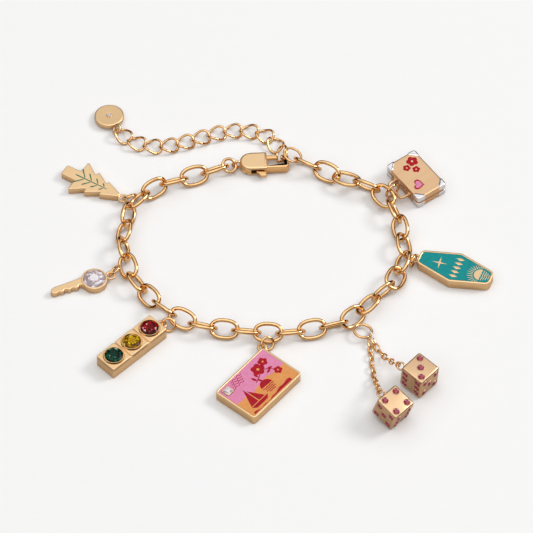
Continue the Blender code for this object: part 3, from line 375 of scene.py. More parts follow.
def wireTree(name):
    tree, start = startTree(name, {
        "Places": "Geometry", "Half Length": "Float", "Half Width": "Float", "Wire Radius": "Float",
        "Squareness": "Float", "Twist": "Float", "Around": "Int", "Sides": "Int", "Finish": "Material"})
    loop = addNode(tree, "GeometryNodeCurvePrimitiveCircle", None, {
        "Resolution": start["Around"], "Radius": 1.0})
    where = addNode(tree, "GeometryNodeInputPosition")
    split = addNode(tree, "ShaderNodeSeparateXYZ", None, {"Vector": where.outputs[0]})

    def maths(operation, a, b=0.0):
        return addNode(tree, "ShaderNodeMath", {"operation": operation}, {0: a, 1: b}).outputs[0]

    share = maths("DIVIDE", 2.0, start["Squareness"])
    stretched = []
    for axis, half in (("X", "Half Length"), ("Y", "Half Width")):
        size = maths("POWER", maths("ABSOLUTE", split.outputs[axis]), share)
        size = maths("MULTIPLY", size, maths("SIGN", split.outputs[axis]))
        stretched.append(maths("MULTIPLY", size, start[half]))
    saddle = maths("MULTIPLY", split.outputs["X"], split.outputs["Y"])
    twist = maths("MULTIPLY", saddle, maths("MULTIPLY", start["Twist"], 2.0))
    place = addNode(tree, "ShaderNodeCombineXYZ", None, {"X": stretched[0], "Y": stretched[1], "Z": twist})
    link = addNode(tree, "GeometryNodeSetPosition", None, {
        "Geometry": loop.outputs["Curve"], "Position": place.outputs[0]})
    section = addNode(tree, "GeometryNodeCurvePrimitiveCircle", None, {
        "Resolution": start["Sides"], "Radius": start["Wire Radius"]})
    wire = addNode(tree, "GeometryNodeCurveToMesh", None, {
        "Curve": link.outputs["Geometry"], "Profile Curve": section.outputs["Curve"]})
    endTree(tree, start, wire.outputs["Mesh"], True)
    return tree


def stoneTree(name):
    tree, start = startTree(name, {"Places": "Geometry", "Stone": "Object", "Finish": "Material"})
    stone = addNode(tree, "GeometryNodeObjectInfo", None, {"Object": start["Stone"]})
    endTree(tree, start, stone.outputs["Geometry"], False)
    return tree


def bakedFromPlaces(name, tree, places, values):
    # Runs the tree on one point for each place and keeps a plain mesh
    points = bpy.data.meshes.new(name + "Places")
    points.from_pydata([tuple(p.translation) for p in places], [], [])
    turns = points.attributes.new("turn", "FLOAT_VECTOR", "POINT")
    turns.data.foreach_set("vector", [c for p in places for c in p.to_3x3().normalized().to_euler("XYZ")])
    carrier = newObject(name, points)
    modifier = carrier.modifiers.new("made", "NODES")
    modifier.node_group = tree
    for item in tree.interface.items_tree:
        if item.in_out == "INPUT" and item.name in values:
            modifier[item.identifier] = values[item.name]
    data = bpy.data.meshes.new_from_object(carrier.evaluated_get(bpy.context.evaluated_depsgraph_get()))
    carrier.modifiers.clear()
    bpy.data.objects.remove(carrier)
    return data


def wires(places, halfLength, halfWidth, wire, squareness=2.0, twist=0.0, around=64, sides=16):
    return bakedFromPlaces("wires", wireMaker, places, {
        "Half Length": halfLength * mm, "Half Width": halfWidth * mm, "Wire Radius": wire * mm,
        "Squareness": squareness, "Twist": twist * mm, "Around": around, "Sides": sides,
        "Finish": polishedGold})


def chainPiece(name, meshes, nodes):
    joined = bmesh.new()
    for data in meshes:
        joined.from_mesh(data)
    bmesh.ops.recalc_face_normals(joined, faces=joined.faces)
    data = meshes[0]
    joined.to_mesh(data)
    joined.free()
    piece = newObject(name, data)
    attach(piece, "bracelet")
    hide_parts(*nodes)


def nodePlace(name):
    # A link's own axes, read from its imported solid: long, wide, thin
    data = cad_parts[name].data
    corners = np.array([tuple(v.co) for v in data.vertices])
    matrix = np.array(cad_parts[name].matrix_world)
    corners = np.unique(np.round(corners @ matrix[:3, :3].T + matrix[:3, 3], 7), axis=0)
    middle = corners.mean(axis=0)
    values, axes = np.linalg.eigh(np.cov((corners - middle).T))
    along, across = Vector(axes[:, 2]), Vector(axes[:, 1])
    place = Matrix((along, across, along.cross(across))).transposed().to_4x4()
    place.translation = Vector(middle)
    return place


wireMaker = wireTree("closed wire at each place")
stoneMaker = stoneTree("cut stone at each place")

# Main chain: plain oval cable links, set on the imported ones
mainChain = {"links": 33,
             "sizes": {"halfLength": 2.95, "halfWidth": 1.95, "wire": 0.445, "squareness": 2.4}}
names = ["link_%02d" % (i + 1) for i in range(mainChain["links"])]
chainPiece("main_chain", [wires([nodePlace(n) for n in names], **mainChain["sizes"])], names)
print("main chain made")

# Jump rings: middle radius and wire radius of each
jumpRings = {"tree_ring": (1.4, 0.295), "key_ring": (1.4, 0.295), "signal_ring": (1.4, 0.295),
             "postcard_ring": (1.4, 0.295), "fob_ring": (1.4, 0.295), "case_ring": (1.7, 0.295),
             "dice_ring": (2.0, 0.295), "clasp_ring": (1.55, 0.325)}
rings = [wires([nodePlace(n)], radius, radius, wire, around=40) for n, (radius, wire) in jumpRings.items()]
chainPiece("jump_rings", rings, list(jumpRings))
print("jump rings made")

# Extender: x, y, z in mm and the turns about x, y and z; the first two links are plain, the rest twisted
extenderLinks = {"halfLength": 2.05, "halfWidth": 1.725, "wire": 0.275, "around": 40}
extenderTwist = 0.604  # lift of a twisted link's corners, in mm
extenderPlaces = [
    (2.17, 31.10, 1.60, 130.0, 0.0, 93.0), (4.59, 30.06, 2.38, 5.0, -168.0, -37.0),
    (0.81, 34.33, 0.94, 0.0, 178.3, -65.6), (-1.58, 36.89, 0.88, 0.0, -180.0, -28.3),
    (-5.04, 38.03, 0.88, 0.0, -180.0, -8.0), (-8.72, 38.10, 0.88, 0.0, -180.0, 5.6),
    (-12.31, 37.34, 0.88, 0.0, -180.0, 18.4), (-15.80, 36.12, 0.88, 0.0, -180.0, 20.2),
    (-19.29, 34.88, 0.88, 0.0, -180.0, 19.0), (-22.86, 33.92, 0.88, 0.0, -180.0, 10.9),
    (-26.51, 33.78, 0.88, 0.0, -180.0, -6.5), (-30.04, 34.73, 0.88, 0.0, -180.0, -23.7),
    (-33.03, 36.79, 1.05, 0.0, -174.8, -45.5),
]
chainPiece("extender", [
    wires([placed(*row) for row in extenderPlaces[:2]], **extenderLinks),
    wires([placed(*row) for row in extenderPlaces[2:]], twist=extenderTwist, **extenderLinks),
], ["extender_chain"])

# The two fine strands of the dice, from the connector out, in the same terms
fineLinks = {"halfLength": 1.0, "halfWidth": 0.56, "wire": 0.185, "squareness": 2.3, "around": 28,
             "sides": 10}
finePlaces = [
    (21.39, -21.36, 0.81, 135.0, 8.0, -86.3), (21.51, -23.07, 0.64, -135.0, 3.3, -86.0),
    (21.63, -24.78, 0.59, 135.0, 0.1, -85.6), (21.78, -26.50, 0.59, -135.0, 0.0, -84.9),
    (21.94, -28.21, 0.59, 135.0, -0.3, -84.2), (22.12, -29.89, 0.80, -135.0, -14.1, -83.3),
    (22.32, -31.50, 1.36, 135.0, -23.5, -82.5), (22.53, -33.03, 2.11, -135.0, -28.9, -81.8),
    (22.75, -34.49, 3.00, 135.0, -32.7, -81.2), (22.97, -35.90, 3.96, -135.0, -35.8, -80.8),
    (23.20, -37.25, 5.00, 135.0, -38.2, -80.5), (23.42, -38.56, 6.09, -135.0, -40.3, -80.4),
    (22.14, -21.02, 1.09, 135.0, 26.2, -60.6), (22.94, -22.44, 0.65, -135.0, 4.2, -60.6),
    (23.78, -23.92, 0.73, 135.0, -9.3, -60.6), (24.59, -25.35, 1.20, -135.0, -23.1, -60.6),
    (25.34, -26.69, 1.96, 135.0, -29.5, -60.6), (26.06, -27.97, 2.87, -135.0, -33.9, -60.6),
    (26.75, -29.19, 3.87, 135.0, -37.3, -60.6), (27.41, -30.36, 4.94, -135.0, -39.9, -60.6),
]
connector = {"place": (21.31, -19.81, 1.20, -130.0, 0.0, -68.7), "radius": 0.88, "wire": 0.21}
chainPiece("dice_strands", [
    wires([placed(*row) for row in finePlaces], **fineLinks),
    wires([placed(*connector["place"])], connector["radius"], connector["radius"], connector["wire"],
          around=36, sides=12),
], ["dice_chains"])
print("extender and strands made")

# Eyes: the cast loop that hangs a charm on its jump ring
eyeRing = {"radius": 0.93, "wire": 0.26, "height": 1.2}


def addEye(shape, x=0.0, y=0.0):
    shape.torus(eyeRing["radius"], eyeRing["wire"], moved(x, y, eyeRing["height"]))


# Tree: a flat three-tier conifer with a sprig of green enamel dashes
treeCharm = {"place": (-32.994, 18.785, 0.0, 0.0, 0.0, 149.0), "length": 14.3, "halfWidth": 4.6,
             "thick": 1.8, "soft": 0.16, "corner": 0.45, "stem": (4.2, 12.2), "proud": 0.03, "sunk": 0.05,
             "branches": ((5.0, 0.8), (6.6, 1.3), (8.3, 1.8), (10.0, 2.3)),  # where, how long
             "tiers": ((0.0, 0.09), (0.28, 0.46), (0.28, 0.28), (0.51, 0.73), (0.51, 0.45), (0.75, 1.0),
                       (0.75, 0.30), (1.0, 0.30))}  # shares of the length and the half width
upper = [(eyeRing["radius"] + x * treeCharm["length"], y * treeCharm["halfWidth"])
         for x, y in treeCharm["tiers"]]
shape = Shape()
shape.slab(roundedOutline(upper + [(x, -y) for x, y in reversed(upper)], treeCharm["corner"], 4),
           0.0, treeCharm["thick"], treeCharm["soft"])
addEye(shape)
shape.finish("tree", treeCharm["place"], [satinGold], ["tree_charm"], "gold")
shape = Shape()
low, high = treeCharm["thick"] - treeCharm["sunk"], treeCharm["thick"] + treeCharm["proud"]
for x, reach in treeCharm["branches"]:
    for side in (-1, 1):
        dash = [(0.0, 0.10), (reach, 0.16), (reach + 0.25, 0.0), (reach, -0.16), (0.0, -0.10)]
        shape.slab(dash, low, high, 0.02, moved(x, side * 0.28, 0, side * 48.0))
first, last = treeCharm["stem"]
shape.slab([(first, 0.09), (last, 0.14), (last, -0.14), (first, -0.09)], low, high, 0.02)
shape.finish("tree_enamel", treeCharm["place"], [greenEnamel], [], "gold")
print("tree made")

# Key: bit, bezel and crystal
keyCharm = {"place": (-35.459, -2.877, 0.0, 0.0, 0.0, -160.0), "centre": 3.78, "bezel": 2.85, "stone": 2.45,
            "height": 1.8, "blade": 10.1, "bladeHeight": 1.5, "edge": 0.8,
            "notches": ((0.34, 0.50), (0.52, 0.28), (0.68, 0.42), (0.84, 0.26))}  # share of the blade, depth
centre, height = keyCharm["centre"], keyCharm["height"]
bezel, stone = keyCharm["bezel"], keyCharm["stone"]
end, edge = centre + keyCharm["blade"], keyCharm["edge"]
blade = [(centre, -1.7), (end - 1.2, -1.05), (end - 0.3, -0.7), (end, -0.1), (end - 0.2, 0.5)]
for share, depth in reversed(keyCharm["notches"]):
    x = centre + share * keyCharm["blade"]
    blade += [(x + 0.6, edge), (x + 0.2, edge - depth), (x - 0.3, edge - depth), (x - 0.6, edge)]
blade.append((centre, 1.2))
shape = Shape()
shape.slab(roundedOutline(blade, 0.35, 3), 0.0, keyCharm["bladeHeight"], 0.2)
shape.turned([(0, 0), (bezel - 0.2, 0), (bezel - 0.06, 0.06), (bezel, 0.2), (bezel, height - 0.2),
              (bezel - 0.05, height - 0.06), (bezel - 0.18, height), (stone + 0.06, height - 0.02),
              (stone + 0.02, height - 0.2), (stone - 0.3, height - 0.5), (0, height - 0.55)],
             56, moved(centre, 0))
addEye(shape)
shape.finish("key", keyCharm["place"], [satinGold], ["key_charm"], "gold")
shape = Shape()
shape.cutStone(stone, height - 0.15, stone * 0.22, 14, moved(centre, 0), seed=4, calm=0.65)
shape.finish("key_crystal", keyCharm["place"], [clearStone], ["key_stone"], "clear_stone",
             sharp=5.0)
print("key made")

# Traffic signal: three cells with a groove between them, each with a collar and a crystal
signal = {"place": (-24.073, -16.495, 0.0, 0.0, 0.0, -135.5), "start": 1.0675, "cells": 3, "cell": 5.4,
          "half": 2.7, "height": 3.3, "corner": 0.3, "groove": 0.13, "stone": 2.0, "collar": 0.35}
start, cell, half, height = signal["start"], signal["cell"], signal["half"], signal["height"]
shape = Shape()
for i in range(signal["cells"]):
    left = start + cell * i + signal["groove"] * (i > 0)
    right = start + cell * (i + 1) - signal["groove"] * (i < signal["cells"] - 1)
    outline = roundedOutline(boxOutline(left, -half, right, half), signal["corner"], 3)
    shape.slab(outline, height - 1.0, height, 0.14)
block = boxOutline(start, -half, start + cell * signal["cells"], half)
shape.slab(roundedOutline(block, signal["corner"], 3), 0.0, height - 0.3, 0.12)
outer, inner, rim = signal["stone"] + signal["collar"], signal["stone"] + 0.03, height + signal["collar"]
collar = [(0, height - 0.8), (outer + 0.06, height - 0.8), (outer + 0.06, height + 0.02),
          (outer - 0.02, height + 0.1), (outer - 0.06, rim - 0.1), (outer - 0.14, rim), (inner + 0.06, rim),
          (inner, rim - 0.07), (inner - 0.1, height - 0.3), (0, height - 0.4)]
middles = [start + cell * (i + 0.5) for i in range(signal["cells"])]
for x in middles:
    shape.turned(collar, 48, moved(x, 0), slot=1)
addEye(shape)
shape.finish("signal", signal["place"], [satinGold, polishedGold], ["signal_body"], "gold")
crystals = (("red", redStone, 3), ("yellow", yellowStone, 8), ("green", greenStone, 5))
for x, (colour, crystal, seed) in zip(middles, crystals):
    shape = Shape()
    shape.cutStone(signal["stone"], rim - 0.1, signal["stone"] * 0.22, 12, moved(x, 0), seed=seed)
    shape.finish("signal_" + colour, signal["place"], [crystal], ["signal_stone_" + colour],
                 colour + "_stone", sharp=5.0)
print("signal made")


# Small ornaments, drawn as outlines in millimetres
def ribbon(points, half):
    left, right = [], []
    for i, point in enumerate(points):
        a, b = Vector(points[max(i - 1, 0)]), Vector(points[min(i + 1, len(points) - 1)])
        aside = Vector((a.y - b.y, b.x - a.x)).normalized() * half
        left.append(tuple(Vector(point) + aside))
        right.append(tuple(Vector(point) - aside))
    return left + right[::-1]


def wavy(x, y, length, height, waves, half, turn=0.0, steps=40):
    angle = math.radians(turn)
    line = []
    for i in range(steps + 1):
        t = i / steps
        u, v = t * length, height * math.sin(math.tau * waves * t)
        line.append((x + u * math.cos(angle) - v * math.sin(angle),
                     y + u * math.sin(angle) + v * math.cos(angle)))
    return ribbon(line, half)


def flower(radius, petals=5, steps=60, turn=0.0):
    # Round petals: each has 0.45 of the radius and its centre at 0.55 of it
    points = []
    for i in range(steps):
        t = math.tau * i / steps
        off = (t + math.pi / petals) % (math.tau / petals) - math.pi / petals
        r = radius * (0.55 * math.cos(off) + math.sqrt(0.45 ** 2 - (0.55 * math.sin(off)) ** 2))
        points.append((r * math.cos(t + turn), r * math.sin(t + turn)))
    return points


def heart(size, blunt, steps=48):
    points = []
    for i in range(steps):
        t = math.tau * i / steps
        x = 16 * math.sin(t) ** 3
        y = 13 * math.cos(t) - 5 * math.cos(2 * t) - 2 * math.cos(3 * t) - math.cos(4 * t)
        y = y if y > -9 else -9 + (y + 9) * (1 - blunt)
        points.append((x * size / 16, y * size / 16))
    return points


def star(points, outer, inner, turn=0.0):
    radii = [outer if i % 2 == 0 else inner for i in range(points * 2)]
    angles = [math.pi * i / points + turn for i in range(points * 2)]
    return [(r * math.cos(t), r * math.sin(t)) for r, t in zip(radii, angles)]


def ring(radius, steps=40, start=0.0, sweep=math.tau):
    angles = [start + sweep * i / steps for i in range(steps)]
    return [(radius * math.cos(t), radius * math.sin(t)) for t in angles]


def leafOutline(size):
    upper = [(0.0, 0.0), (0.3, 0.2), (0.7, 0.17), (1.0, 0.0)]
    return [(size * u, size * v) for u, v in upper + [(u, -v) for u, v in upper[2:0:-1]]]


def trayEdge(thick, rim, floor, soft):
    # Inset and height round a tray, from under its edge up and over the rim to its floor
    return [(soft, 0.0), (0.05, 0.05), (0.0, soft), (0.0, thick - 0.15), (0.04, thick - 0.04), (0.13, thick),
            (rim - 0.1, thick), (rim - 0.02, thick - 0.05), (rim, floor)]


# Postcard: a rimmed tray, two fields of enamel, a flowering twig, a boat, a half sun and a stamp crystal
card = {"place": (-2.065, -23.623, 0.0, 0.0, 0.0, -130.0), "length": 16.1, "width": 11.2, "thick": 2.5,
        "corner": 0.85, "rim": 0.45, "depth": 0.4, "fit": 0.03, "eye": (-0.56, -0.56),
        "stamp": (14.1, 2.0), "stampHalf": 1.0, "boat": (11.7, 8.9), "sun": (7.3, 7.5), "sunRadius": 1.65,
        "flowers": ((5.4, 3.2, 1.6), (3.1, 2.6, 1.15), (2.6, 6.6, 1.0)),  # x, y, radius
        "leaves": ((7.9, 5.1, -80, 1.6), (7.5, 4.9, 105, 1.3), (6.9, 4.6, -80, 1.3), (3.9, 4.6, 160, 1.4),
                   (3.5, 5.1, 10, 1.4))}  # x, y, turn, length
length, width, thick, rim = card["length"], card["width"], card["thick"], card["rim"]
floor = thick - card["depth"]
stampX, stampY = card["stamp"]
half = card["stampHalf"]
shape = Shape()
shape.profile(roundedOutline(boxOutline(0, 0, length, width), card["corner"], 6),
              trayEdge(thick, rim, floor, 0.18))
addEye(shape, *card["eye"])
shape.profile(boxOutline(stampX - half, stampY - half, stampX + half, stampY + half),
              [(0.0, floor - 0.05), (0.0, thick + 0.06), (0.05, thick + 0.1), (0.13, thick + 0.1),
               (0.18, thick + 0.04), (0.3, thick - 0.1)])
shape.finish("postcard_tray", card["place"], [satinGold], ["postcard"], "gold")

shape = Shape()
stone = half - 0.16
square = ((-1, -1), (0, -1), (1, -1), (1, 0), (1, 1), (0, 1), (-1, 1), (-1, 0))
steps = ((1.0, -0.3), (1.0, 0.08), (0.78, 0.2), (0.55, 0.28), (0.3, 0.28))  # share of its half, height
# Painted reflections: each facet of the stamp crystal gets a random painted brightness
pick = random.Random(11)
for facet in shape.lofted([[(stampX + stone * share * a, stampY + stone * share * b, thick + rise)
                            for a, b in square] for share, rise in steps]):
    tone = pick.random()
    for loop in facet.loops:
        loop[shape.tone] = (tone, tone, tone, 1.0)
shape.finish("postcard_crystal", card["place"], [clearStone], [], "gold", sharp=5.0)

shape = Shape()
top = thick - 0.05
near, farX, farY = rim + card["fit"], length - rim - card["fit"], width - rim - card["fit"]
cutX0, cutX1 = stampX - half - 0.1, stampX + half + 0.1
cutY0, cutY1 = stampY - half - 0.1, stampY + half + 0.1
bay = [(x, 6.15 + 0.22 * math.sin(x * 0.75) + 0.12 * math.sin(x * 1.9)) for x in np.linspace(near, farX, 40)]
pinkField = [(near, near), (cutX0, near), (cutX0, cutY1), (cutX1, cutY1), (cutX1, near), (farX, near)]
for field, slot in ((pinkField + bay[::-1], 0), (boxOutline(cutX0, near, cutX1, cutY0), 0),
                    (bay + [(farX, farY), (near, farY)], 1)):
    shape.profile(field, [(0.0, floor + 0.02), (0.0, top)], slot=slot)


def inlay(outline, matrix=identity, slot=2, rise=0.025):
    # Each motif stands at its own height, so no two faces lie in one plane
    shape.slab(outline, top - 0.05, top + rise, 0.012, matrix, slot)


for i in range(4):
    inlay(wavy(8.7 + 0.3 * i, 1.0 + 0.58 * i, 3.4, 0.15, 2.5, 0.075))
boat = moved(*card["boat"], 0.0, 180.0)
inlay([(-2.6, -0.1), (2.7, -0.1), (1.8, -0.95), (-1.7, -0.95)], boat)
inlay([(-0.12, 0.12), (-0.12, 4.6), (-2.4, 0.12)], boat)
inlay([(0.14, 0.12), (0.14, 3.7), (2.0, 0.12)], boat)
sunX, sunY = card["sun"]
inlay(ring(card["sunRadius"], 30, math.pi, math.pi), moved(sunX, sunY))
for i, reach in enumerate((card["sunRadius"], 1.25, 1.4, 0.9)):
    inlay(wavy(sunX - reach, sunY + 0.3 + 0.44 * i, 2 * reach, 0.05, 3, 0.1))
shore = [(x, 10.15 - 0.35 * math.sin(x * 0.42) - 0.1 * math.sin(x * 2.3))
         for x in np.linspace(2.6, 15.0, 34)]
inlay(shore + [(15.0, 10.6), (2.6, 10.6)])
twig = [(8.4 - 6.0 * t, 5.3 - 3.1 * t + 0.3 * math.sin(math.pi * t)) for t in np.linspace(0.0, 1.0, 24)]
inlay(ribbon(twig, 0.11), rise=0.015)
inlay(ribbon([(4.8, 4.0), (4.0, 4.5), (3.3, 5.3), (2.8, 6.3)], 0.1), rise=0.013)
for x, y, turn, size in card["leaves"]:
    inlay(leafOutline(size), moved(x, y, 0.0, turn), rise=0.02)
for x, y, size in card["flowers"]:
    inlay(flower(size, turn=x), moved(x, y), rise=0.03)
    inlay(ring(size * 0.22, 16), moved(x, y), 1, 0.045)
shape.finish("postcard_picture", card["place"], [pinkEnamel, orangeEnamel, crimsonEnamel],
             ["postcard_enamel"], "pink_enamel")
print("postcard made")

# Key fob: a rimmed lozenge, teal enamel, a star, five small lozenges, a half sun and water lines in gold
fob = {"place": (32.33, 1.613, 0.0, 0.0, 0.0, -21.5), "length": 17.06, "endHalf": 1.8, "half": 4.15,
       "thick": 2.5, "rim": 0.45, "depth": 0.4, "corner": 1.4, "eye": (-0.7925, 0.0),
       "star": (4.9, -0.1), "row": 8.9, "rowSpots": (-2.4, -1.2, 0.0, 1.2, 2.4), "sun": 14.5,
       "sunRadius": 1.5, "rays": 15}
length, half, endHalf, thick, rim = fob["length"], fob["half"], fob["endHalf"], fob["thick"], fob["rim"]
floor = thick - fob["depth"]
lozenge = roundedOutline([(0, -endHalf), (length / 2, -half), (length, -endHalf), (length, endHalf),
                          (length / 2, half), (0, endHalf)], fob["corner"], 6)
shape = Shape()
shape.profile(lozenge, trayEdge(thick, rim, floor, 0.2))
addEye(shape, *fob["eye"])
top = thick - 0.05


def raised(outline, matrix=identity):
    shape.slab(outline, top - 0.1, top + 0.025, 0.012, matrix)


raised(star(4, 1.75, 0.3, 0.12), moved(*fob["star"]))
for y in fob["rowSpots"]:
    raised([(-1.0, 0), (0, -0.42), (1.0, 0), (0, 0.42)], moved(fob["row"], y))
sunX, radius = fob["sun"], fob["sunRadius"]
raised([(sunX - radius * math.sin(t), radius * math.cos(t)) for t in np.linspace(0.0, math.pi, 24)])
for i in range(fob["rays"]):
    t = math.radians(6 + 12 * i)
    reach = min(3.1, 2.35 / abs(math.cos(t) + 0.001))
    ray = ((radius + 0.3, -0.09), (reach, -0.04), (reach, 0.04), (radius + 0.3, 0.09))
    raised([(sunX - r * math.sin(t) + w * math.cos(t), r * math.cos(t) + w * math.sin(t)) for r, w in ray])
for i, reach in enumerate((1.45, 1.25, 0.95, 0.6)):
    raised(wavy(sunX + 0.45 + 0.47 * i, -reach, 2 * reach, 0.05, 2, 0.07, 90.0))
shape.finish("fob", fob["place"], [satinGold], ["fob_charm"], "gold")
shape = Shape()
shape.profile(lozenge, [(rim + 0.04, floor + 0.02), (rim + 0.04, top - 0.02), (rim + 0.06, top)])
shape.finish("fob_field", fob["place"], [tealEnamel], ["fob_enamel"], "teal_enamel")
print("fob made")

# Suitcase: two shells with a seam, silver corner caps, a handle, flowers and a heart
case = {"place": (27.121, 20.331, 0.0, 0.0, 0.0, 36.0), "near": 2.2, "width": 7.6, "half": 5.9,
        "height": 3.3, "corner": 0.9, "seam": 0.25, "handle": 0.33, "handleHeight": 1.6,
        "handleHalf": 2.5, "brackets": 2.5, "latches": 1.2, "capOver": 0.11, "heart": (4.75, -2.6),
        "heartTurn": 54.0,
        "flowers": ((7.45, 3.55, 1.35), (5.35, 2.7, 0.9), (6.85, 1.2, 0.9)),  # x, y, radius
        "cap": ((1.95, -0.11), (1.85, 0.55), (1.15, 1.15), (0.55, 1.85), (-0.11, 1.95))}  # from its corner
near, far, half, height = case["near"], case["near"] + case["width"], case["half"], case["height"]
seam, middle = case["seam"], case["height"] / 2
shape = Shape()
shape.profile(roundedOutline(boxOutline(near, -half, far, half), case["corner"], 6), [
    (0.35, 0.0), (0.1, 0.1), (0.0, 0.35), (0.0, middle - 0.19), (0.06, middle - 0.125),
    (seam, middle - 0.12), (seam, middle + 0.12), (0.06, middle + 0.125), (0.0, middle + 0.19),
    (0.0, height - 0.35), (0.1, height - 0.1), (0.35, height)])
span = case["handleHalf"]
bend = [(near + 0.4, span), (0.6, span - 0.05), (0.1, span - 0.3), (0.0, span - 0.8)]
bend = [Vector((x, -y)) for x, y in bend] + [Vector(point) for point in bend[::-1]]
path = [a.lerp(b, k / 4) for a, b in zip(bend, bend[1:]) for k in range(4)] + [bend[-1]]
rounds = []
for i, point in enumerate(path):
    along = (path[min(i + 1, len(path) - 1)] - path[max(i - 1, 0)]).normalized()
    side = Vector((along.y, -along.x)) * case["handle"]
    rounds.append([(point.x + side.x * math.cos(a), point.y + side.y * math.cos(a),
                    case["handleHeight"] + case["handle"] * math.sin(a))
                   for a in (math.tau * j / 14 for j in range(14))])
shape.lofted(rounds)
for y in (-case["brackets"], case["brackets"]):
    shape.slab(roundedOutline(boxOutline(near - 0.25, y - 0.5, near + 0.3, y + 0.5), 0.1, 2), 1.1, 2.1, 0.12)
for y in (-case["latches"], case["latches"]):
    shape.slab(boxOutline(near - 0.08, y - 0.3, near + 0.3, y + 0.3), 1.25, 2.05, 0.05)
shape.finish("case", case["place"], [brushedGold], ["case_charm"], "gold")
shape = Shape()
over = case["capOver"]
for x, signX in ((near, 1), (far, -1)):
    for y, signY in ((-half, 1), (half, -1)):
        cap = [(x + signX * u, y + signY * v) for u, v in ((-over, -over),) + case["cap"]]
        cap = roundedOutline(cap, 0.8, 5)
        shape.slab(cap, middle + 0.23, height + over, 0.3)
        shape.slab(cap, 0.03, middle - 0.22, 0.3)
shape.finish("case_caps", case["place"], [brightSilver], [], "gold")
shape = Shape()


def paint(outline, matrix=identity, slot=0, rise=0.02):
    shape.slab(outline, height - 0.1, height + rise, 0.01, matrix, slot)


for x, y, size in case["flowers"]:
    paint(flower(size, turn=0.3 + x), moved(x, y))
    paint(ring(size * 0.2, 20), moved(x, y), 2, 0.04)
place = moved(*case["heart"], 0.0, case["heartTurn"])
paint(heart(1.4, 0.3), place)
paint(heart(1.0, 0.3), place, 1, 0.04)
shape.finish("case_enamel", case["place"], [crimsonEnamel, pinkEnamel, satinGold], [],
             "pink_enamel")
print("suitcase made")

# Dice: rounded cubes with a rim and a rose crystal in each pip
dice = {"edge": 6.0, "soft": 0.5, "pip": 0.88, "stone": 0.74, "spacing": 1.72, "eye": 0.8, "eyeWire": 0.21,
        "eyeSunk": 0.11, "eyeDrop": 0.9}
cubes = {"die_a": {"place": (26.232, -41.076, 3.704, 16.5, 0.0, 46.9), "eye": (-0.75, -45.0),
                   "faces": (4, 6, 2)},  # the counts on the top, the near side and the right side
         "die_b": {"place": (32.102, -32.126, 3.397, 5.0, 0.0, 48.5), "eye": (-2.2, -30.0),
                   "faces": (3, 5, 1)}}


def pipSpots(count):
    spots = [(0, 0)] if count % 2 else []
    spots += [(-1, -1), (1, 1)] if count > 1 else []
    spots += [(-1, 1), (1, -1)] if count > 3 else []
    return spots + ([(-1, 0), (1, 0)] if count == 6 else [])


def cubeFaces(upward, near, right):
    # Opposite faces add up to seven
    quarter = turnBy(90, "Z")
    return ((upward, identity), (near, turnBy(90, "X")), (right, turnBy(90, "Y") @ quarter),
            (7 - right, turnBy(-90, "Y") @ quarter), (7 - near, turnBy(-90, "X")),
            (7 - upward, turnBy(180, "X")))


shape = Shape()
shape.cutStone(dice["stone"] * mm, 0.0, 0.16 * mm, 8, seed=6, calm=0.35)
pipStone = bpy.data.objects.new("pip", bpy.data.meshes.new("pip"))
bmesh.ops.recalc_face_normals(shape.mesh, faces=shape.mesh.faces)
shape.mesh.to_mesh(pipStone.data)
shape.mesh.free()
pip, stone, half = dice["pip"], dice["stone"], dice["edge"] / 2
pipRim = [(0.0, -0.2), (pip, -0.2), (pip, 0.01), (pip * 0.97, 0.06), (stone + 0.05, 0.06), (stone, 0.0),
          (0.0, -0.1)]
for name, cube in cubes.items():
    place = placed(*cube["place"])
    shape = Shape()
    bmesh.ops.create_cube(shape.mesh, size=dice["edge"])
    bmesh.ops.bevel(shape.mesh, geom=list(shape.mesh.edges), offset=dice["soft"], segments=5, affect="EDGES",
                    profile=0.5)
    along, tilt = cube["eye"]
    eyeSpot = Matrix.Translation((along, half + dice["eye"] - dice["eyeSunk"], half - dice["eyeDrop"]))
    shape.torus(dice["eye"], dice["eyeWire"], eyeSpot @ turnBy(tilt, "Y"))
    spots = []
    for count, view in cubeFaces(*cube["faces"]):
        for u, v in pipSpots(count):
            spot = view @ Matrix.Translation((u * dice["spacing"], v * dice["spacing"], half))
            shape.turned(pipRim, 20, spot)
            spots.append(place @ spot @ Matrix.Translation((0, 0, 0.02)))
    shape.finish(name + "_cube", cube["place"], [cubeGold], [name], "gold")
    stones = bakedFromPlaces(name + "_pips", stoneMaker, spots, {"Stone": pipStone, "Finish": roseStone})
    piece = newObject(name + "_pips", stones)
    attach(piece, "bracelet")
print("dice made")

# End tag: a domed disc with a bright rim and a small crystal
tag = {"place": (-34.45, 38.392, 1.216, 0.0, 175.29, -65.0), "radius": 3.25, "half": 0.6, "collar": 0.575,
       "stone": 0.47, "eye": 1.0, "eyeWire": 0.33, "eyeTilt": -50}
radius, half = tag["radius"], tag["half"]
spot = moved(tag["eye"] + radius, 0.0)
shape = Shape()
shape.turned([(0, half), (radius - 0.3, half), (radius - 0.08, half - 0.08), (radius, half - 0.3),
              (radius, 0.3 - half), (radius - 0.06, 0.1 - half), (radius - 0.23, -half),
              (radius - 0.3, -half - 0.005), (radius - 0.45, -half - 0.005), (0.9, -half - 0.005),
              (0.72, -half), (0.62, 0.03 - half), (0, 0.03 - half)], 64, spot)
shape.torus(tag["collar"], 0.1, spot @ Matrix.Translation((0, 0, 0.02 - half)))
shape.torus(tag["eye"], tag["eyeWire"], turnBy(tag["eyeTilt"], "X"))
shape.finish("tag", tag["place"], [satinGold], ["end_tag"], "gold")
shape = Shape()
shape.cutStone(tag["stone"], half, 0.12, 8, spot @ turnBy(180, "X"), seed=2)
shape.finish("tag_crystal", tag["place"], [clearStone], [], "gold", sharp=5.0)
print("tag made")

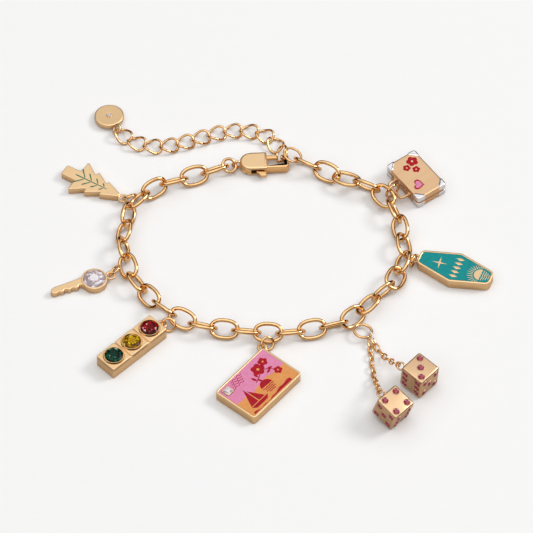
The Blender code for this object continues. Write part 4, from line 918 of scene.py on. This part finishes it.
# Clasp: two domed sheets with a spine at the tail, a hook, and the lever between them
clasp = {"place": (-7.798, 28.274, 0.0, 0.0, 0.0, 3.0), "low": 0.055, "high": 2.555, "half": 2.4,
         "tail": 0.72, "front": 6.7, "widest": 3.7, "pin": (4.0, 0.9), "pinRadius": 0.34,
         "eye": 0.95, "eyeWire": 0.26}
low, high, half = clasp["low"], clasp["high"], clasp["half"]
front, widest, tail = clasp["front"], clasp["widest"], clasp["tail"]
body = [(widest - (widest - tail) * math.cos(t) ** 0.8, -half * math.sin(t))
        for t in np.linspace(-1.5, 1.5, 25)]
body += [(front - 0.4, -half), (front - 0.15, 0.08 - half), (front, 0.3 - half), (front, half - 0.3),
         (front - 0.15, half - 0.08), (front - 0.4, half)]
dome = [(0.3, -0.6), (0.05, -0.55), (0.0, -0.42), (0.06, -0.24), (0.2, -0.1), (0.36, -0.03), (0.5, 0.0)]
shape = Shape()
shape.profile(body, [(inset, high + rise) for inset, rise in dome])
shape.profile(body, [(inset, low - rise) for inset, rise in reversed(dome)])
for wallEnd, signY in ((5.6, 1), (3.1, -1)):  # the wall on the tab's side is the shorter one
    wall = [(1.8, 2.05), (wallEnd, 2.25), (wallEnd, 2.0), (1.8, 1.8)]
    shape.slab([(x, signY * y) for x, y in wall], 0.4, 2.2, 0.04, slot=1)
spine = [(0.85, 0.95), (2.1, 1.9), (2.1, -1.9), (0.85, -0.95)]
shape.slab(roundedOutline(spine, 0.2, 3), 0.3, 2.3, 0.1, slot=1)
hook = [(6.0, -2.1), (11.1, -2.1), (11.6, -1.6), (11.6, -0.8), (10.9, -0.8), (10.75, -1.4), (6.0, -1.4)]
shape.slab(roundedOutline(hook, 0.25, 4), low, high, 0.42, slot=1)
hookTip = [(10.9, -1.3), (11.6, -1.3), (11.6, 1.5), (11.1, 2.0), (9.75, 2.0), (9.75, 1.05), (10.6, 1.05),
           (10.9, 0.8)]
shape.slab(roundedOutline(hookTip, 0.3, 4), low + 0.75, high - 0.75, 0.3, slot=1)
pin = clasp["pinRadius"]
shape.turned([(0, 0.3), (pin, 0.3), (pin, 2.3), (0, 2.3)], 24, moved(*clasp["pin"]))
shape.torus(clasp["eye"], clasp["eyeWire"], moved(0, 0, (low + high) / 2) @ turnBy(90, "X"), slot=1)
shape.finish("clasp", clasp["place"], [satinGold, polishedGold], ["clasp_body"], "gold")
lever = {"place": (-3.85, 29.382, 1.305, 0.0, 0.0, 3.0), "half": 0.45}
arm = [(5.0, 1.1), (5.0, 0.1), (2.4, 0.1), (1.6, -0.8), (2.2, -3.3), (2.6, -4.6), (1.2, -4.6), (0.3, -3.3),
       (-0.8, -0.4), (-0.4, 1.1)]
shape = Shape()
shape.slab(roundedOutline(arm, 0.25, 4), -lever["half"], lever["half"], 0.18)
shape.finish("clasp_lever_arm", lever["place"], [polishedGold], ["clasp_lever"], "gold", "lever")
print("clasp made")

# Floor and light: a white sheet, a soft lamp behind the loop, a faint one in front and a plain pale dome
studio = {"sheet": 3.0, "paper": ("#f5f5f5", "#f3f3f3"), "paintedReflection": "#cec6be", "strength": 2.12,
          "lamps": {"key": ((1.75, 0.55, 1.55), 0.9, 20.0),  # place, size, watts
                    "front": ((-0.5, -0.7, 0.7), 0.5, 0.5)},
          "dome": ((0.0, (0.02, 0.013, 0.009)), (0.47, (0.022, 0.014, 0.01)), (0.6, (0.45, 0.447, 0.445)),
                   (0.88, (0.45, 0.45, 0.45)), (0.96, (0.74, 0.74, 0.74)))}
side = studio["sheet"]
floorData = bpy.data.meshes.new("floor")
sheet = [(x, y, 0) for x, y in boxOutline(-side, -side, side, side)]
floorData.from_pydata(sheet, [], [(0, 1, 2, 3)])
floorPiece = newObject("floor", floorData)
# Matt paper, no sheen, a faint cloud of fibre; the metal shows a painted grey reflection of it
paper, tree, shader = newMaterial("matt white paper")
fibre = noiseIn(tree, 3.0)
mix = addNode(tree, "ShaderNodeMix", {"data_type": "RGBA"}, {
    0: fibre.outputs["Fac"], 6: hexToLinear(studio["paper"][0]), 7: hexToLinear(studio["paper"][1])})
# Glossy rays get the warm grey: painted shade in the metal's reflections, not the paper's colour
seen = addNode(tree, "ShaderNodeLightPath")
dim = addNode(tree, "ShaderNodeMix", {"data_type": "RGBA"}, {
    0: seen.outputs["Is Glossy Ray"], 6: mix.outputs[2], 7: hexToLinear(studio["paintedReflection"])})
tree.links.new(dim.outputs[2], shader.inputs["Base Color"])
shader.inputs["Roughness"].default_value = 0.9
shader.inputs["Specular IOR Level"].default_value = 0.1
floorData.materials.append(paper)

for name, (where, size, watts) in studio["lamps"].items():
    lamp = bpy.data.lights.new(name, "AREA")
    lamp.shape = "DISK"
    lamp.size = size
    lamp.energy = watts
    item = newObject(name, lamp)
    item.location = where
    item.rotation_euler = (-Vector(where)).to_track_quat("-Z", "Y").to_euler()
world = bpy.data.worlds.new("studio")
bpy.context.scene.world = world
world.use_nodes = True
sky = world.node_tree
way = addNode(sky, "ShaderNodeTexCoord")
split = addNode(sky, "ShaderNodeSeparateXYZ", None, {"Vector": way.outputs["Generated"]})
ramp = addNode(sky, "ShaderNodeValToRGB", None, {"Fac": split.outputs["Z"]})
shades = ramp.color_ramp.elements
for rise, colour in studio["dome"][1:]:
    shades.new(rise).color = colour + (1.0,)
shades[0].color = studio["dome"][0][1] + (1.0,)
shades[-1].color = studio["dome"][-1][1] + (1.0,)
sky.links.new(ramp.outputs["Color"], sky.nodes["Background"].inputs["Color"])
sky.nodes["Background"].inputs["Strength"].default_value = studio["strength"]
print("floor and light made")
